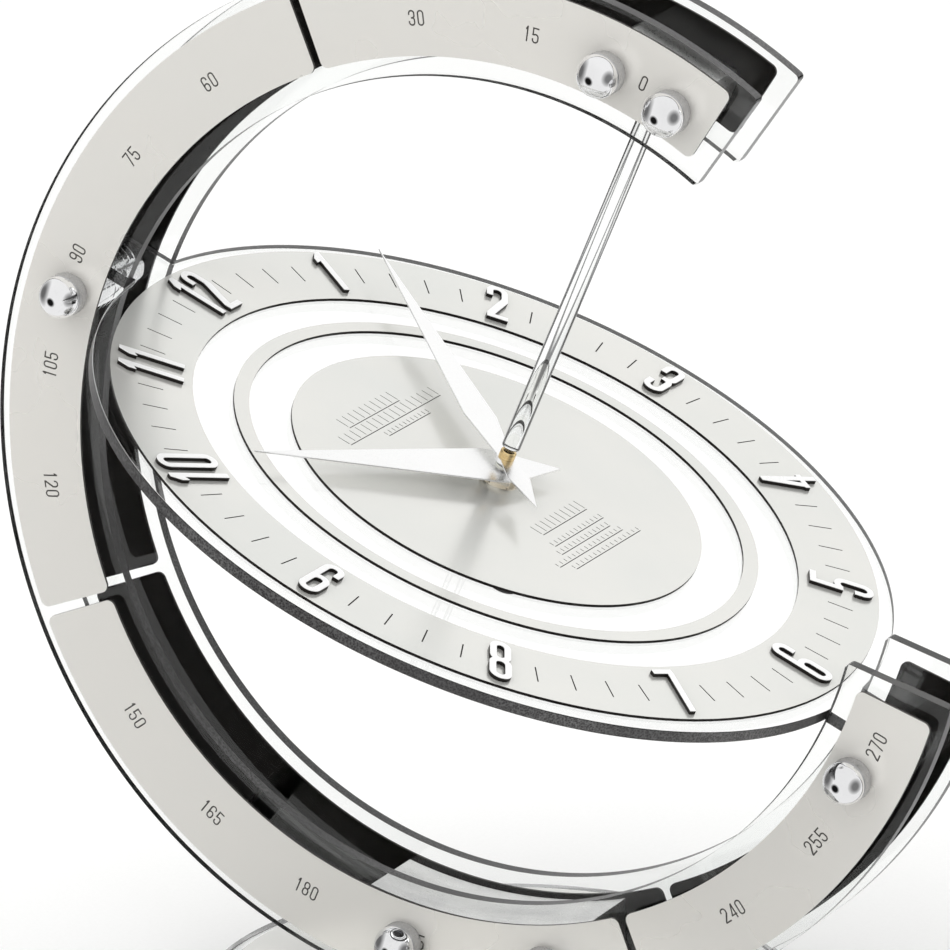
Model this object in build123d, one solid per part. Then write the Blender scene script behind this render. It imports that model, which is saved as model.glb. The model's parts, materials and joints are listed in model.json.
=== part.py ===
"""Table armillary clock: a tilted equatorial dial held inside a C-shaped meridian.

Millimetres, +Z up. The origin is the middle of the object's bounding box, on the
table. The meridian stands in the XZ plane and its north pole leans towards +X.

Two frames are used. Dial parts are drawn in the dial frame: x towards 3 o'clock,
y towards 12 o'clock, z along the polar axis, zero on the top face of the clear
dial at the centre of the meridian circle. Stand parts are drawn in the stand
frame, which has its origin under the meridian's centre. The C opens towards +X,
so the stand frame lies a few millimetres from the middle of the bounding box.
"""
from build123d import *
from math import atan2, cos, degrees, radians, sin, sqrt
import os

os.makedirs("parts", exist_ok=True)

# Driving dimensions
AXIS_TILT = 23.5
SHEET = 4.0
LAMINATE = 1.0
STICK = 0.02

# Base
FOOT_HEIGHT = 3.0
FOOT_RADIUS = 8.0
FOOT_CIRCLE = 56.0
WEIGHT_HEIGHT = 7.0
WEIGHT_RADIUS = 74.0
BASE_SHEET = 8.0
BASE_RADIUS = 95.0
BASE_MARGIN = 6.5
SLOT_DEPTH = 3.5
SLOT_GAP = 0.15
SADDLE_LENGTH = 78.0
BASE_SCREW_X = 11.0
BASE_SCREW_RADIUS = 2.5
BASE_SCREW_FIT = 0.2
SCREW_HEAD_RADIUS = 4.3
SCREW_HEAD_HEIGHT = 3.0
SCREW_HEAD_GAP = 0.2
SCREW_POCKET_RADIUS = 4.8
SCREW_SOCKET_RADIUS = 2.0
SCREW_REACH = 12.0
SADDLE_THREAD_DEPTH = 14.0
SADDLE_TOP_DROP = 100.0
FOOT_CHAMFER = 0.6
WEIGHT_CHAMFER = 0.8
BASE_CHAMFER = 0.6

# Meridian
RING_OUTER = 170.0
RING_INNER = 133.5
BAND_OUTER = 166.0
BAND_INNER = 140.0
PLATE_GAP = 24.6
RING_START = -12.0
RING_END = 278.0
BAND_END_MARGIN = 2.5
BAND_GAPS = (45.0, 135.0, 225.0)
BAND_GAP = 3.0
BAND_CORNER = 2.5
PLATE_CORNER = 1.5
SCALE_STEP = 15
SCALE_RADIUS = 152.0
SCALE_HEIGHT = 5.0
SCALE_DEPTH = 0.2
SCALE_WIDTH = 2.3
SCALE_STROKE = 0.5
SCALE_PITCH = 3.1
SCALE_EDGE = 2.0

# Tie studs, spacers and dome nuts
STUD_RADIUS = 2.5
STUD_FIT = 0.1
STUD_END_GAP = 0.5
STUD_CIRCLE = 150.0
DIAL_STUD_ANGLES = (95.0, 265.0)
POLE_STUD_ANGLE = 4.6
SADDLE_STUD_CIRCLE = 153.0
SADDLE_STUD_ANGLE = 9.5
SPACER_RADIUS = 9.0
NUT_RADIUS = 6.9
NUT_SKIRT = 7.0
NUT_HEIGHT = 13.0
NUT_BORE_DEPTH = 9.0
NUT_COLLAR_RADIUS = 6.0
NUT_COLLAR = 1.6

# Polar rod
ROD_RADIUS = 3.0
ROD_LOW = 12.9
ROD_HIGH = 152.0
POLE_BLOCK_LENGTH = 36.0
POLE_BLOCK_LOW = 143.0
POLE_BLOCK_HIGH = 158.0
POLE_BLOCK_CHAMFER = 2.0
BLOCK_FIT = 0.1
ROD_CHAMFER = 0.4
GRUB_RADIUS = 1.5
GRUB_SOCKET_RADIUS = 0.85
GRUB_SOCKET_DEPTH = 2.0
GRUB_RECESS = 0.5

# Dial
DIAL_RADIUS = 133.0
TAB_REACH = 148.8
TAB_WIDTH = 24.2
DIAL_BORE = 4.6
HOUR_OUTER = 127.5
HOUR_INNER = 100.5
THIN_OUTER = 87.0
THIN_INNER = 82.0
CENTRE_RADIUS = 68.0
TICK_INNER = 110.5
TICK_OUTER = 118.8
TICK_WIDTH = 0.45
TICK_DEPTH = 0.25
LINE_WIDTH = 0.3
LINE_DEPTH = 0.15
LINE_GAP = 0.5
# Engraved rules of the centre plate: start x, end x, y of the line, height of its ticks, ticks
RULES = (
    (-22.7, 9.8, 43.4, 4.6, 9),
    (-31.7, 27.1, 37.6, 4.4, 16),
    (-13.5, 13.7, 33.6, 1.6, 11),
    (-15.9, 13.5, -26.4, 4.4, 9),
    (-18.1, 14.5, -32.2, 1.6, 12),
    (-20.4, 12.2, -36.0, 1.6, 12),
    (-27.9, 14.4, -39.6, 1.4, 15),
    (-23.2, 20.1, -43.2, 1.4, 15),
)

# Hour numerals
NUMERAL_CIRCLE = 114.5
NUMERAL_HEIGHT = 21.5
NUMERAL_WIDTH = 7.2
NUMERAL_STROKE = 2.15
NUMERAL_THICKNESS = 1.4
NUMERAL_PITCH = 8.6

# Movement case
CASE_SIZE = 56.0
CASE_DEPTH = 16.0
CASE_WALL = 1.5
CASE_CORNER = 5.0
CASE_TOP = -SHEET
CASE_BOTTOM = CASE_TOP - CASE_DEPTH
COVER_THICKNESS = 1.5
CAVITY_CORNER = 1.5
BAY_WALL = 0.8
BAY_ROOF = 1.0
LATCH_SPACING = 10.0
LATCH_LENGTH = 8.0
LATCH_WIDTH = 3.0
LATCH_HEIGHT = 1.6
BUSH_RADIUS = 4.4
BUSH_BORE = 2.6
BUSH_TOP = 3.9
BUSH_CHAMFER = 0.4
BUSH_FLANGE_RADIUS = 6.5
BUSH_FLANGE = 0.4
WASHER_RADIUS = 6.8
WASHER_THICKNESS = 0.4
CLAMP_ACROSS = 6.2
CLAMP_ROUND = 6.0
CLAMP_HEIGHT = 2.0
CLAMP_CHAMFER = 0.5
CELL_X = 18.85
CELL_Z = -12.4
CELL_RADIUS = 7.0
CELL_LENGTH = 50.0
CELL_WALL_X = 10.6
CELL_ROUNDING = 0.5
CELL_BUTTON_RADIUS = 2.6
CELL_BUTTON = 1.4
CONTACT_THICKNESS = 0.4
CONTACT_HALF_WIDTH = 5.0
CONTACT_BUMP_RADIUS = 2.5
CONTACT_BUMP = 0.5

# Hands
MINUTE_SHOWN = 6.5
HOUR_HAND_Z = 5.4
MINUTE_HAND_Z = 8.4
HAND_SHEET = 0.5
BOSS_HEIGHT = 1.0
MINUTE_BOSS_RADIUS = 3.2
HOUR_BOSS_RADIUS = 4.0
MINUTE_BLADE = (120.0, 24.0, 5.8, 2.4, 11.5, 4.0, 27.5)
HOUR_BLADE = (91.0, 4.0, 9.2, 8.8, 3.0, 7.8, 21.5)
HAND_NUT_RADIUS = 2.6
HAND_NUT_HEIGHT = 2.8
HAND_NUT_ROUNDING = 0.8

# Wheel work
TRAIN_MODULE = 0.25
MINUTE_MODULE = 0.5
HOUR_MODULE = 0.48
ROTOR_LEAVES = 8
INTERMEDIATE_TEETH = 40
SECOND_TEETH = 48
THIRD_TEETH = 60
CENTRE_TEETH = 64
LEAVES = 8
CANNON_TEETH = 12
MOTION_TEETH = 36
MOTION_LEAVES = 10
HOUR_TEETH = 40
WHEEL_THICKNESS = 0.6
PIVOT_RADIUS = 0.5
PIVOT_GAP = 0.06
BRIDGE_LOW = -17.6
BRIDGE_THICKNESS = 1.2
TRAIN_PLATE_LOW = -9.9
TRAIN_PLATE_THICKNESS = 0.8
STAFF_LOW = -17.2
STAFF_HIGH = -9.3
PLATE_CORNER_ROUNDING = 3.0
BRIDGE_X = (-24.5, 9.4)
BRIDGE_Y = (-20.0, 25.0)
TRAIN_PLATE_Y = (-5.0, 25.0)
BOARD_X = (-24.0, -12.0)
BOARD_Y = (-19.0, -9.0)
BOARD_Z = (-16.4, -15.6)
CHIP_AT = (-18.0, -14.0)
CHIP_RADIUS = 2.4
CHIP_HEIGHT = 0.8
COIL_AT = (-20.5, -13.5, -11.0)
COIL_RADIUS = 3.4
COIL_LENGTH = 12.0
BOBBIN_RADIUS = 1.6
BOBBIN_LENGTH = 15.5
CHEEK_SHIFT = 6.6
CHEEK_SIZE = 7.2
CHEEK_THICKNESS = 1.2
CORE_SLOT = (1.6, 20.0, 0.8)
STATOR_Z = (-11.3, -10.7)
STATOR_RADIUS = 5.2
STATOR_BORE = 3.3
STATOR_ARM_X = (-21.2, -19.8)
STATOR_ARM_Y = (-21.5, 0.0)
MAGNET_RADIUS = 2.7
MAGNET_Z = (-12.4, -10.2)
ROTOR_PINION_Z = (-15.4, -14.0)
INTERMEDIATE_WHEEL_Z = -15.0
INTERMEDIATE_PINION_Z = (-12.5, -11.4)
SECOND_WHEEL_Z = -12.2
SECOND_PINION_Z = (-13.9, -12.7)
THIRD_WHEEL_Z = -13.6
THIRD_PINION_Z = (-11.5, -10.2)
CENTRE_WHEEL_Z = -11.2
CENTRE_HUB_RADIUS = 2.6
CENTRE_HUB_LOW = -12.2
CLUTCH_RADIUS = 1.2
CLUTCH_LOW = -13.0
CLUTCH_HIGH = -10.4
ARBOR_RADIUS = 1.6
ARBOR_ABOVE_HAND = 2.0
CANNON_Z = (-8.7, -7.3)
HOUR_WHEEL_Z = (-7.0, -6.3)
HOUR_PIPE_RADIUS = 2.5
HOUR_PIPE_ABOVE_HAND = 1.0
MOTION_WHEEL_Z = (-8.4, -7.6)
MOTION_PINION_TOP = -6.1
MOTION_TOP = -5.0
SETTING_RADIUS = 1.5
SETTING_FIT = 0.1
SETTING_STUB = 2.4
KNOB_RADIUS = 6.0
KNOB_LOW = 3.6
KNOB_GAP = 0.4
KNOB_CHAMFER = 0.6
KNOB_GROOVES = 24
KNOB_GROOVE_RADIUS = 0.35
KNOB_GROOVE_CIRCLE = 6.1

BASE_LOW = FOOT_HEIGHT + WEIGHT_HEIGHT
BASE_TOP = BASE_LOW + BASE_SHEET
FACE_TOP = BASE_TOP + LAMINATE
RING_HEIGHT = FACE_TOP - SLOT_DEPTH + RING_OUTER
PLATE_INSIDE = PLATE_GAP / 2
PLATE_OUTSIDE = PLATE_INSIDE + SHEET
BAND_FACE = PLATE_OUTSIDE + LAMINATE
NADIR = 180 + AXIS_TILT
RIGHT_REACH = RING_OUTER * sin(radians(RING_END - NADIR)) - 0.5
STAND_X = (RING_OUTER - RIGHT_REACH) / 2

DIAL = Plane(
    origin=(0, 0, RING_HEIGHT),
    x_dir=(0, 1, 0),
    z_dir=(sin(radians(AXIS_TILT)), 0, cos(radians(AXIS_TILT))),
)
MERIDIAN = Plane(origin=(0, 0, 0), x_dir=(0, 1, 0), z_dir=(1, 0, 0))


# Helpers

def save(name, shape):
    """Write one node that was drawn in the stand frame."""
    export_step(Pos(STAND_X, 0, 0) * shape, f"parts/{name}.step")


def save_dial(name, shape):
    """Write one node that was drawn in the dial frame."""
    save(name, DIAL.location * shape)


def on_ring(radius, angle):
    """Point of the meridian drawing; the angle runs from the pole towards 12 o'clock."""
    return (radius * sin(radians(angle)), radius * cos(radians(angle)))


def across(sketch, low, thickness):
    """Extrude a meridian drawing along the dial's x, starting at x = low."""
    return MERIDIAN.location * (Pos(0, 0, low) * extrude(sketch, amount=thickness))


def disc(radius, low, high, x=0.0, y=0.0):
    """Cylinder along z between two heights."""
    return Pos(x, y, (low + high) / 2) * Cylinder(radius, high - low)


def tube(outer, inner, low, high, x=0.0, y=0.0):
    """Hollow cylinder along z between two heights."""
    return disc(outer, low, high, x, y) - disc(inner, low - 1, high + 1, x, y)


def block(x_range, y_range, z_range):
    """Box from its low and high coordinates."""
    size = [high - low for low, high in (x_range, y_range, z_range)]
    centre = [(high + low) / 2 for low, high in (x_range, y_range, z_range)]
    return Pos(*centre) * Box(*size)


def cross_pin(radius, low, high, ring_radius, angle):
    """Cylinder along the dial's x at one place on the meridian."""
    y, z = on_ring(ring_radius, angle)
    return Pos((low + high) / 2, y, z) * Rot(0, 90, 0) * Cylinder(radius, high - low)


def ring_sector(inner, outer, start, end, corner=0.0):
    """Annular sector of the meridian drawing with rounded corners."""
    sweep = start - end
    inner_arc = CenterArc((0, 0), inner, 90 - start, sweep)
    outer_arc = CenterArc((0, 0), outer, 90 - start, sweep)
    first = Line(inner_arc @ 0, outer_arc @ 0)
    last = Line(inner_arc @ 1, outer_arc @ 1)
    face = make_face(Curve() + [inner_arc, outer_arc, first, last])
    if corner:
        face = fillet(face.vertices(), corner)
    return face


# Digits

def loop(width, height, stroke, y=0.0):
    """Closed digit loop centred on x, standing on y."""
    outer_radius = min(width, height) / 2 - 0.01
    inner_radius = max(outer_radius - stroke, 0.1)
    outer = RectangleRounded(width, height, outer_radius)
    inner = RectangleRounded(width - 2 * stroke, height - 2 * stroke, inner_radius)
    return Pos(0, y + height / 2) * (outer - inner)


def bar(x_range, y_range):
    """Flat rectangle from its low and high coordinates."""
    width = x_range[1] - x_range[0]
    height = y_range[1] - y_range[0]
    return Pos(x_range[0] + width / 2, y_range[0] + height / 2) * Rectangle(width, height)


def outline(*points):
    """Closed flat polygon."""
    return make_face(Polyline(*points, close=True))


def digit(value, height, width, stroke):
    """One condensed digit, standing on y = 0 and centred on x."""
    half = width / 2
    waist = 0.56 * height
    if value == 0:
        return loop(width, height, stroke)
    if value == 1:
        flag = 0.16 * height
        left = half * 0.2 - stroke / 2
        right = left + stroke
        return outline(
            (left, 0), (right, 0), (right, height), (left + 0.15 * stroke, height),
            (left - 0.75 * stroke, height - flag), (left - 0.75 * stroke, height - 1.75 * flag),
            (left, height - 1.45 * flag),
        )
    if value == 2:
        top = loop(width, waist, stroke, height - waist)
        top -= bar((-half - 1, half - stroke), (0, height - 0.3 * height))
        top -= bar((-half - 1, half + 1), (0, height - 0.36 * height))
        slant = outline(
            (half - stroke, 0.65 * height), (half, 0.65 * height), (half, 0.58 * height),
            (-half + 1.15 * stroke, stroke * 0.9), (-half, stroke * 0.9), (-half, stroke * 1.2),
        )
        return top + slant + bar((-half, half), (0, stroke))
    if value == 3:
        both = loop(width, waist, stroke) + loop(width, waist, stroke, height - waist)
        both -= bar((-half - 1, 0.05 * width), (0.31 * height, 0.69 * height))
        return both + bar((-0.1 * width, 0.25 * width), ((height - stroke) / 2, (height + stroke) / 2))
    if value == 4:
        stem = bar((half - 1.5 * stroke, half - 0.5 * stroke), (0, height))
        slant = outline(
            (half - 1.5 * stroke, height), (half - 0.5 * stroke, height),
            (-half + stroke, 0.22 * height), (-half, 0.22 * height),
        )
        return stem + slant + bar((-half, half), (0.22 * height, 0.22 * height + stroke * 0.9))
    if value == 5:
        bowl = loop(width, 0.62 * height, stroke)
        bowl -= bar((-half - 1, 0), (0.3 * height, 0.48 * height))
        head = bar((-half, half * 0.9), (height - stroke, height))
        return bowl + head + bar((-half, -half + stroke), (0.48 * height, height))
    if value == 6:
        hook = loop(width, height, stroke) - bar((0, half + 1), (0.3 * height, 0.7 * height))
        return hook + loop(width, waist, stroke)
    if value == 7:
        slant = outline(
            (half - stroke, height - stroke), (half, height - stroke),
            (-0.1 * width + stroke / 2, 0), (-0.1 * width - stroke / 2, 0),
        )
        return slant + bar((-half, half), (height - stroke, height))
    if value == 8:
        upper = loop(width * 0.94, height - waist + stroke, stroke, waist - stroke)
        return loop(width, waist, stroke) + upper
    hook = loop(width, height, stroke) - bar((-half - 1, 0), (0.3 * height, 0.7 * height))
    return hook + loop(width, waist, stroke, height - waist)


def number(value, height, width, stroke, pitch):
    """List of the digits of a number, centred on the origin."""
    text = str(value)
    start = -pitch * (len(text) - 1) / 2
    placed = []
    for index, letter in enumerate(text):
        place = Pos(start + index * pitch, -height / 2)
        placed.append(place * digit(int(letter), height, width, stroke))
    return placed


# Base

def base_hole(low, high):
    """The two screw passages of the base."""
    holes = [disc(BASE_SCREW_RADIUS + BASE_SCREW_FIT, low, high, x) for x in (-BASE_SCREW_X, BASE_SCREW_X)]
    return Compound(holes)


def plate_slots(low, high):
    """Two slots that the meridian plates stand in."""
    reach = sqrt(RING_OUTER ** 2 - (RING_OUTER - SLOT_DEPTH) ** 2) + 1
    slots = []
    for side in (-1, 1):
        edges = sorted((side * (PLATE_INSIDE - SLOT_GAP), side * (PLATE_OUTSIDE + SLOT_GAP)))
        slots.append(block((-reach, reach), edges, (low, high)))
    return Compound(slots)


def base_feet():
    """Four rubber feet under the weight."""
    spot = FOOT_CIRCLE / sqrt(2)
    feet = []
    for x in (-spot, spot):
        for y in (-spot, spot):
            foot = disc(FOOT_RADIUS, 0, FOOT_HEIGHT, x, y)
            feet.append(chamfer(foot.edges().group_by(Axis.Z)[0], FOOT_CHAMFER))
    return Compound(feet)


def base_weight():
    """Steel weight with screw head pockets."""
    weight = disc(WEIGHT_RADIUS, FOOT_HEIGHT, BASE_LOW)
    weight = chamfer(weight.edges(), WEIGHT_CHAMFER)
    top = FOOT_HEIGHT + SCREW_HEAD_GAP + SCREW_HEAD_HEIGHT
    pockets = [disc(SCREW_POCKET_RADIUS, 0, top, x) for x in (-BASE_SCREW_X, BASE_SCREW_X)]
    return weight - Compound(pockets) - base_hole(0, BASE_LOW + 1)


def base_disc():
    """Clear base disc with pockets for the meridian plates."""
    body = disc(BASE_RADIUS, BASE_LOW, BASE_TOP)
    body = chamfer(body.edges(), BASE_CHAMFER)
    return body - plate_slots(FACE_TOP - SLOT_DEPTH, BASE_TOP + 1) - base_hole(0, BASE_TOP + 1)


def base_face():
    """Satin laminate disc on top of the base."""
    face = disc(BASE_RADIUS - BASE_MARGIN, BASE_TOP, FACE_TOP)
    return face - plate_slots(BASE_TOP - 1, FACE_TOP + 1) - base_hole(0, FACE_TOP + 1)


def saddle_block():
    """Aluminium block between the plates, with a hollowed top, screwed to the base."""
    half = PLATE_INSIDE - BLOCK_FIT
    x_range = (-SADDLE_LENGTH / 2, SADDLE_LENGTH / 2)
    body = block(x_range, (-half, half), (FACE_TOP, RING_HEIGHT - SADDLE_TOP_DROP))
    hollow = Pos(0, 0, RING_HEIGHT) * Rot(90, 0, 0) * Cylinder(BAND_INNER + 1, 4 * half)
    body -= hollow
    for x in (-BASE_SCREW_X, BASE_SCREW_X):
        body -= disc(BASE_SCREW_RADIUS + STICK, FACE_TOP - 1, FACE_TOP + SADDLE_THREAD_DEPTH, x)
    for pin in saddle_pins(STUD_RADIUS + STUD_FIT, -half - 1, half + 1):
        body -= DIAL.location * pin
    return body


def saddle_pins(radius, low, high):
    """Cylinders at the two saddle studs, in the dial frame."""
    angles = (NADIR - SADDLE_STUD_ANGLE, NADIR + SADDLE_STUD_ANGLE)
    return [cross_pin(radius, low, high, SADDLE_STUD_CIRCLE, angle) for angle in angles]


def base_screws():
    """Two cap screws from below into the saddle block."""
    low = FOOT_HEIGHT + SCREW_HEAD_GAP
    screws = []
    for x in (-BASE_SCREW_X, BASE_SCREW_X):
        head = disc(SCREW_HEAD_RADIUS, low, low + SCREW_HEAD_HEIGHT, x)
        hexagon = RegularPolygon(SCREW_SOCKET_RADIUS, 6)
        socket = Pos(x, 0, low) * extrude(hexagon, amount=SCREW_HEAD_HEIGHT * 5 / 6, both=True)
        shank = disc(BASE_SCREW_RADIUS, low + SCREW_HEAD_HEIGHT, FACE_TOP + SCREW_REACH, x)
        screws.append(head + shank - socket)
    return Compound(screws)


# Meridian

def pole_pins(radius, low, high):
    """Cylinders at the two pole block studs, in the dial frame."""
    angles = (-POLE_STUD_ANGLE, POLE_STUD_ANGLE)
    return [cross_pin(radius, low, high, STUD_CIRCLE, angle) for angle in angles]


def dial_pins(radius, low, high):
    """Cylinders at the two spacers that carry the dial's tabs."""
    return [cross_pin(radius, low, high, STUD_CIRCLE, angle) for angle in DIAL_STUD_ANGLES]


def all_pins(radius, low, high):
    """Cylinders at every tie stud."""
    return pole_pins(radius, low, high) + dial_pins(radius, low, high) + saddle_pins(radius, low, high)


def meridian_plate(side):
    """Clear C-shaped plate; side is -1 at the front and 1 at the back."""
    low = min(side * PLATE_INSIDE, side * PLATE_OUTSIDE)
    plate = across(ring_sector(RING_INNER, RING_OUTER, RING_START, RING_END, PLATE_CORNER), low, SHEET)
    return plate - Compound(all_pins(STUD_RADIUS + STUD_FIT, low - 1, low + SHEET + 1))


def band_limits():
    """Start and end angles of the scale bands."""
    middle = (BAND_INNER + BAND_OUTER) / 2
    half_gap = degrees(BAND_GAP / 2 / middle)
    starts = [RING_START + BAND_END_MARGIN] + [gap + half_gap for gap in BAND_GAPS]
    ends = [gap - half_gap for gap in BAND_GAPS] + [RING_END - BAND_END_MARGIN]
    return list(zip(starts, ends))


def scale_numbers(start, end, mirror):
    """Sketches of the scale's numbers that lie on one band."""
    cuts = []
    for value in range(0, 360, SCALE_STEP):
        if not start + SCALE_EDGE < value < end - SCALE_EDGE:
            continue
        below = AXIS_TILT + 90 < value < AXIS_TILT + 270
        y, z = on_ring(SCALE_RADIUS, value)
        turn = -value + (180 if below else 0)
        for shape in number(value, SCALE_HEIGHT, SCALE_WIDTH, SCALE_STROKE, SCALE_PITCH):
            flat = shape if not mirror else shape.mirror(Plane.YZ)
            cuts.append(Pos(y, z) * Rot(0, 0, turn) * flat)
    return cuts


def scale_band(side, start, end):
    """Satin laminate band with its engraved numbers, on the outside of a plate."""
    low = min(side * PLATE_OUTSIDE, side * BAND_FACE)
    band = across(ring_sector(BAND_INNER, BAND_OUTER, start, end, BAND_CORNER), low, LAMINATE)
    face = side * BAND_FACE
    cut_low = min(face, face - side * SCALE_DEPTH) - (0.5 if side < 0 else 0)
    cutters = [across(cut, cut_low, SCALE_DEPTH + 0.5) for cut in scale_numbers(start, end, side < 0)]
    band -= Compound(cutters)
    return band - Compound(all_pins(STUD_RADIUS + STUD_FIT, low - 1, low + LAMINATE + 1))


def tie_studs():
    """Plain studs that pull the two plates together."""
    reach = BAND_FACE + NUT_BORE_DEPTH - STUD_END_GAP
    return Compound(all_pins(STUD_RADIUS, -reach, reach))


def dome_nut():
    """Chrome cap nut with a groove above its collar and a blind bore, standing on z = 0."""
    dome = NUT_HEIGHT - NUT_SKIRT
    sphere_radius = (NUT_RADIUS ** 2 + dome ** 2) / (2 * dome)
    cap = Pos(0, 0, NUT_HEIGHT - sphere_radius) * Sphere(sphere_radius)
    cap = cap & disc(2 * NUT_RADIUS, NUT_SKIRT, NUT_HEIGHT + 1)
    solid = disc(NUT_COLLAR_RADIUS, 0, NUT_COLLAR) + disc(NUT_RADIUS, NUT_COLLAR, NUT_SKIRT) + cap
    return solid - disc(STUD_RADIUS + STICK, -1, NUT_BORE_DEPTH)


def dome_nuts(pins):
    """A dome nut on both ends of each given stud."""
    nuts = []
    for pin in pins:
        centre = pin.center()
        for side in (-1, 1):
            place = Pos(side * BAND_FACE, centre.Y, centre.Z) * Rot(0, side * 90, 0)
            nuts.append(place * dome_nut())
    return Compound(nuts)


def tab_spacers():
    """Polished tubes between the plates, under the dial's tabs."""
    reach = PLATE_INSIDE - STICK
    outer = dial_pins(SPACER_RADIUS, -reach, reach)
    inner = dial_pins(STUD_RADIUS + STUD_FIT, -reach - 1, reach + 1)
    return Compound([shell - core for shell, core in zip(outer, inner)])


def pole_block():
    """Block between the plates that holds the upper end of the polar rod."""
    half = PLATE_INSIDE - BLOCK_FIT
    length = POLE_BLOCK_LENGTH / 2
    body = block((-half, half), (-length, length), (POLE_BLOCK_LOW, POLE_BLOCK_HIGH))
    body = chamfer(body.edges().filter_by(Axis.X), POLE_BLOCK_CHAMFER)
    body -= disc(ROD_RADIUS + STICK, POLE_BLOCK_LOW - 1, ROD_HIGH)
    body -= disc(GRUB_RADIUS + STICK, ROD_HIGH - 1, POLE_BLOCK_HIGH + 1)
    return body - Compound(pole_pins(STUD_RADIUS + STUD_FIT, -half - 1, half + 1))


def grub_screw():
    """Socket screw above the rod."""
    body = disc(GRUB_RADIUS, ROD_HIGH + STICK, POLE_BLOCK_HIGH - GRUB_RECESS)
    socket = RegularPolygon(GRUB_SOCKET_RADIUS, 6)
    socket = Pos(0, 0, POLE_BLOCK_HIGH - GRUB_SOCKET_DEPTH) * extrude(socket, amount=3)
    return body - socket


def polar_rod():
    """Clear round rod on the polar axis with softened ends."""
    return chamfer(disc(ROD_RADIUS, ROD_LOW, ROD_HIGH).edges(), ROD_CHAMFER)


# Dial

def dial_disc():
    """Clear dial with a tab at 12 and at 6 o'clock and a centre bore."""
    tabs = block((-TAB_WIDTH / 2, TAB_WIDTH / 2), (-TAB_REACH, TAB_REACH), (-SHEET, 0))
    return disc(DIAL_RADIUS, -SHEET, 0) + tabs - disc(DIAL_BORE, -SHEET - 1, 1)


def hour_ring():
    """Satin hour ring with four minute ticks between hours."""
    ring = tube(HOUR_OUTER, HOUR_INNER, 0, LAMINATE)
    length = TICK_OUTER - TICK_INNER
    tick = Box(TICK_WIDTH, length, 2 * TICK_DEPTH)
    ticks = []
    for minute in range(60):
        if minute % 5:
            place = Rot(0, 0, -6 * minute) * Pos(0, (TICK_INNER + TICK_OUTER) / 2, LAMINATE)
            ticks.append(place * tick)
    return ring - Compound(ticks)


def hour_numerals():
    """Raised hour numerals; 4 to 8 stand with their heads inward."""
    solids = []
    for hour in range(1, 13):
        flip = 180 if 4 <= hour <= 8 else 0
        place = Rot(0, 0, -30 * hour) * Pos(0, NUMERAL_CIRCLE, LAMINATE) * Rot(0, 0, flip)
        for shape in number(hour, NUMERAL_HEIGHT, NUMERAL_WIDTH, NUMERAL_STROKE, NUMERAL_PITCH):
            solids.append(place * extrude(shape, amount=NUMERAL_THICKNESS))
    return Compound(solids)


# Movement

def polar(radius, angle):
    """Point at a radius and an angle from x, anticlockwise."""
    return (radius * cos(radians(angle)), radius * sin(radians(angle)))


def step_from(start, distance, angle):
    """Point at a distance and an angle from another."""
    shift = polar(distance, angle)
    return (start[0] + shift[0], start[1] + shift[1])


def mesh_distance(teeth, leaves, module):
    """Centre distance of a wheel and a pinion."""
    return (teeth + leaves) * module / 2


THIRD_AT = step_from((0, 0), mesh_distance(CENTRE_TEETH, LEAVES, TRAIN_MODULE), 160)
SECOND_AT = step_from(THIRD_AT, mesh_distance(THIRD_TEETH, LEAVES, TRAIN_MODULE), 110)
INTERMEDIATE_AT = step_from(SECOND_AT, mesh_distance(SECOND_TEETH, LEAVES, TRAIN_MODULE), 200)
ROTOR_AT = step_from(INTERMEDIATE_AT, mesh_distance(INTERMEDIATE_TEETH, ROTOR_LEAVES, TRAIN_MODULE), 265)
MOTION_AT = (0.0, -mesh_distance(MOTION_TEETH, CANNON_TEETH, MINUTE_MODULE))


def toothed(teeth, module, low, high, at=(0.0, 0.0), phase=0.0):
    """Wheel with narrow tapered teeth; one tooth points along the phase angle."""
    pitch_radius = teeth * module / 2
    root = pitch_radius - 1.1 * module
    tip = pitch_radius + 0.8 * module
    pitch = 360 / teeth
    points = []
    for index in range(teeth):
        middle = phase + index * pitch
        for radius, share in ((root, -0.24), (tip, -0.09), (tip, 0.09), (root, 0.24)):
            points.append(polar(radius, middle + share * pitch))
    wheel = extrude(outline(*points), amount=high - low)
    return Pos(at[0], at[1], low) * wheel


def bearing(start, end):
    """Direction from one axis to another in degrees."""
    return degrees(atan2(end[1] - start[1], end[0] - start[0]))


def meshed_phase(teeth, towards):
    """Phase that puts a tooth gap on the line of centres."""
    return towards + 180 / teeth


def staff(at, low, high, radius=PIVOT_RADIUS):
    """Thin steel axle."""
    return disc(radius, low, high, *at)


def case_front():
    """Front shell of the movement with its cell bay."""
    half = CASE_SIZE / 2
    inner = half - CASE_WALL
    outer_box = block((-half, half), (-half, half), (CASE_BOTTOM + COVER_THICKNESS, CASE_TOP))
    body = fillet(outer_box.edges().filter_by(Axis.Z), CASE_CORNER)
    cavity = block((-inner, CELL_WALL_X), (-inner, inner), (CASE_BOTTOM - 1, CASE_TOP - CASE_WALL))
    bay = block((CELL_WALL_X + BAY_WALL, inner), (-inner, inner), (CASE_BOTTOM - 1, CASE_TOP - BAY_ROOF))
    body -= fillet(cavity.edges().filter_by(Axis.Z), CAVITY_CORNER)
    body -= bay
    body -= disc(BUSH_RADIUS + STICK, CASE_BOTTOM, CASE_TOP + 1)
    return body - staff(MOTION_AT, CASE_TOP - CASE_WALL - 1, MOTION_TOP + STICK, PIVOT_RADIUS + PIVOT_GAP)


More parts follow.
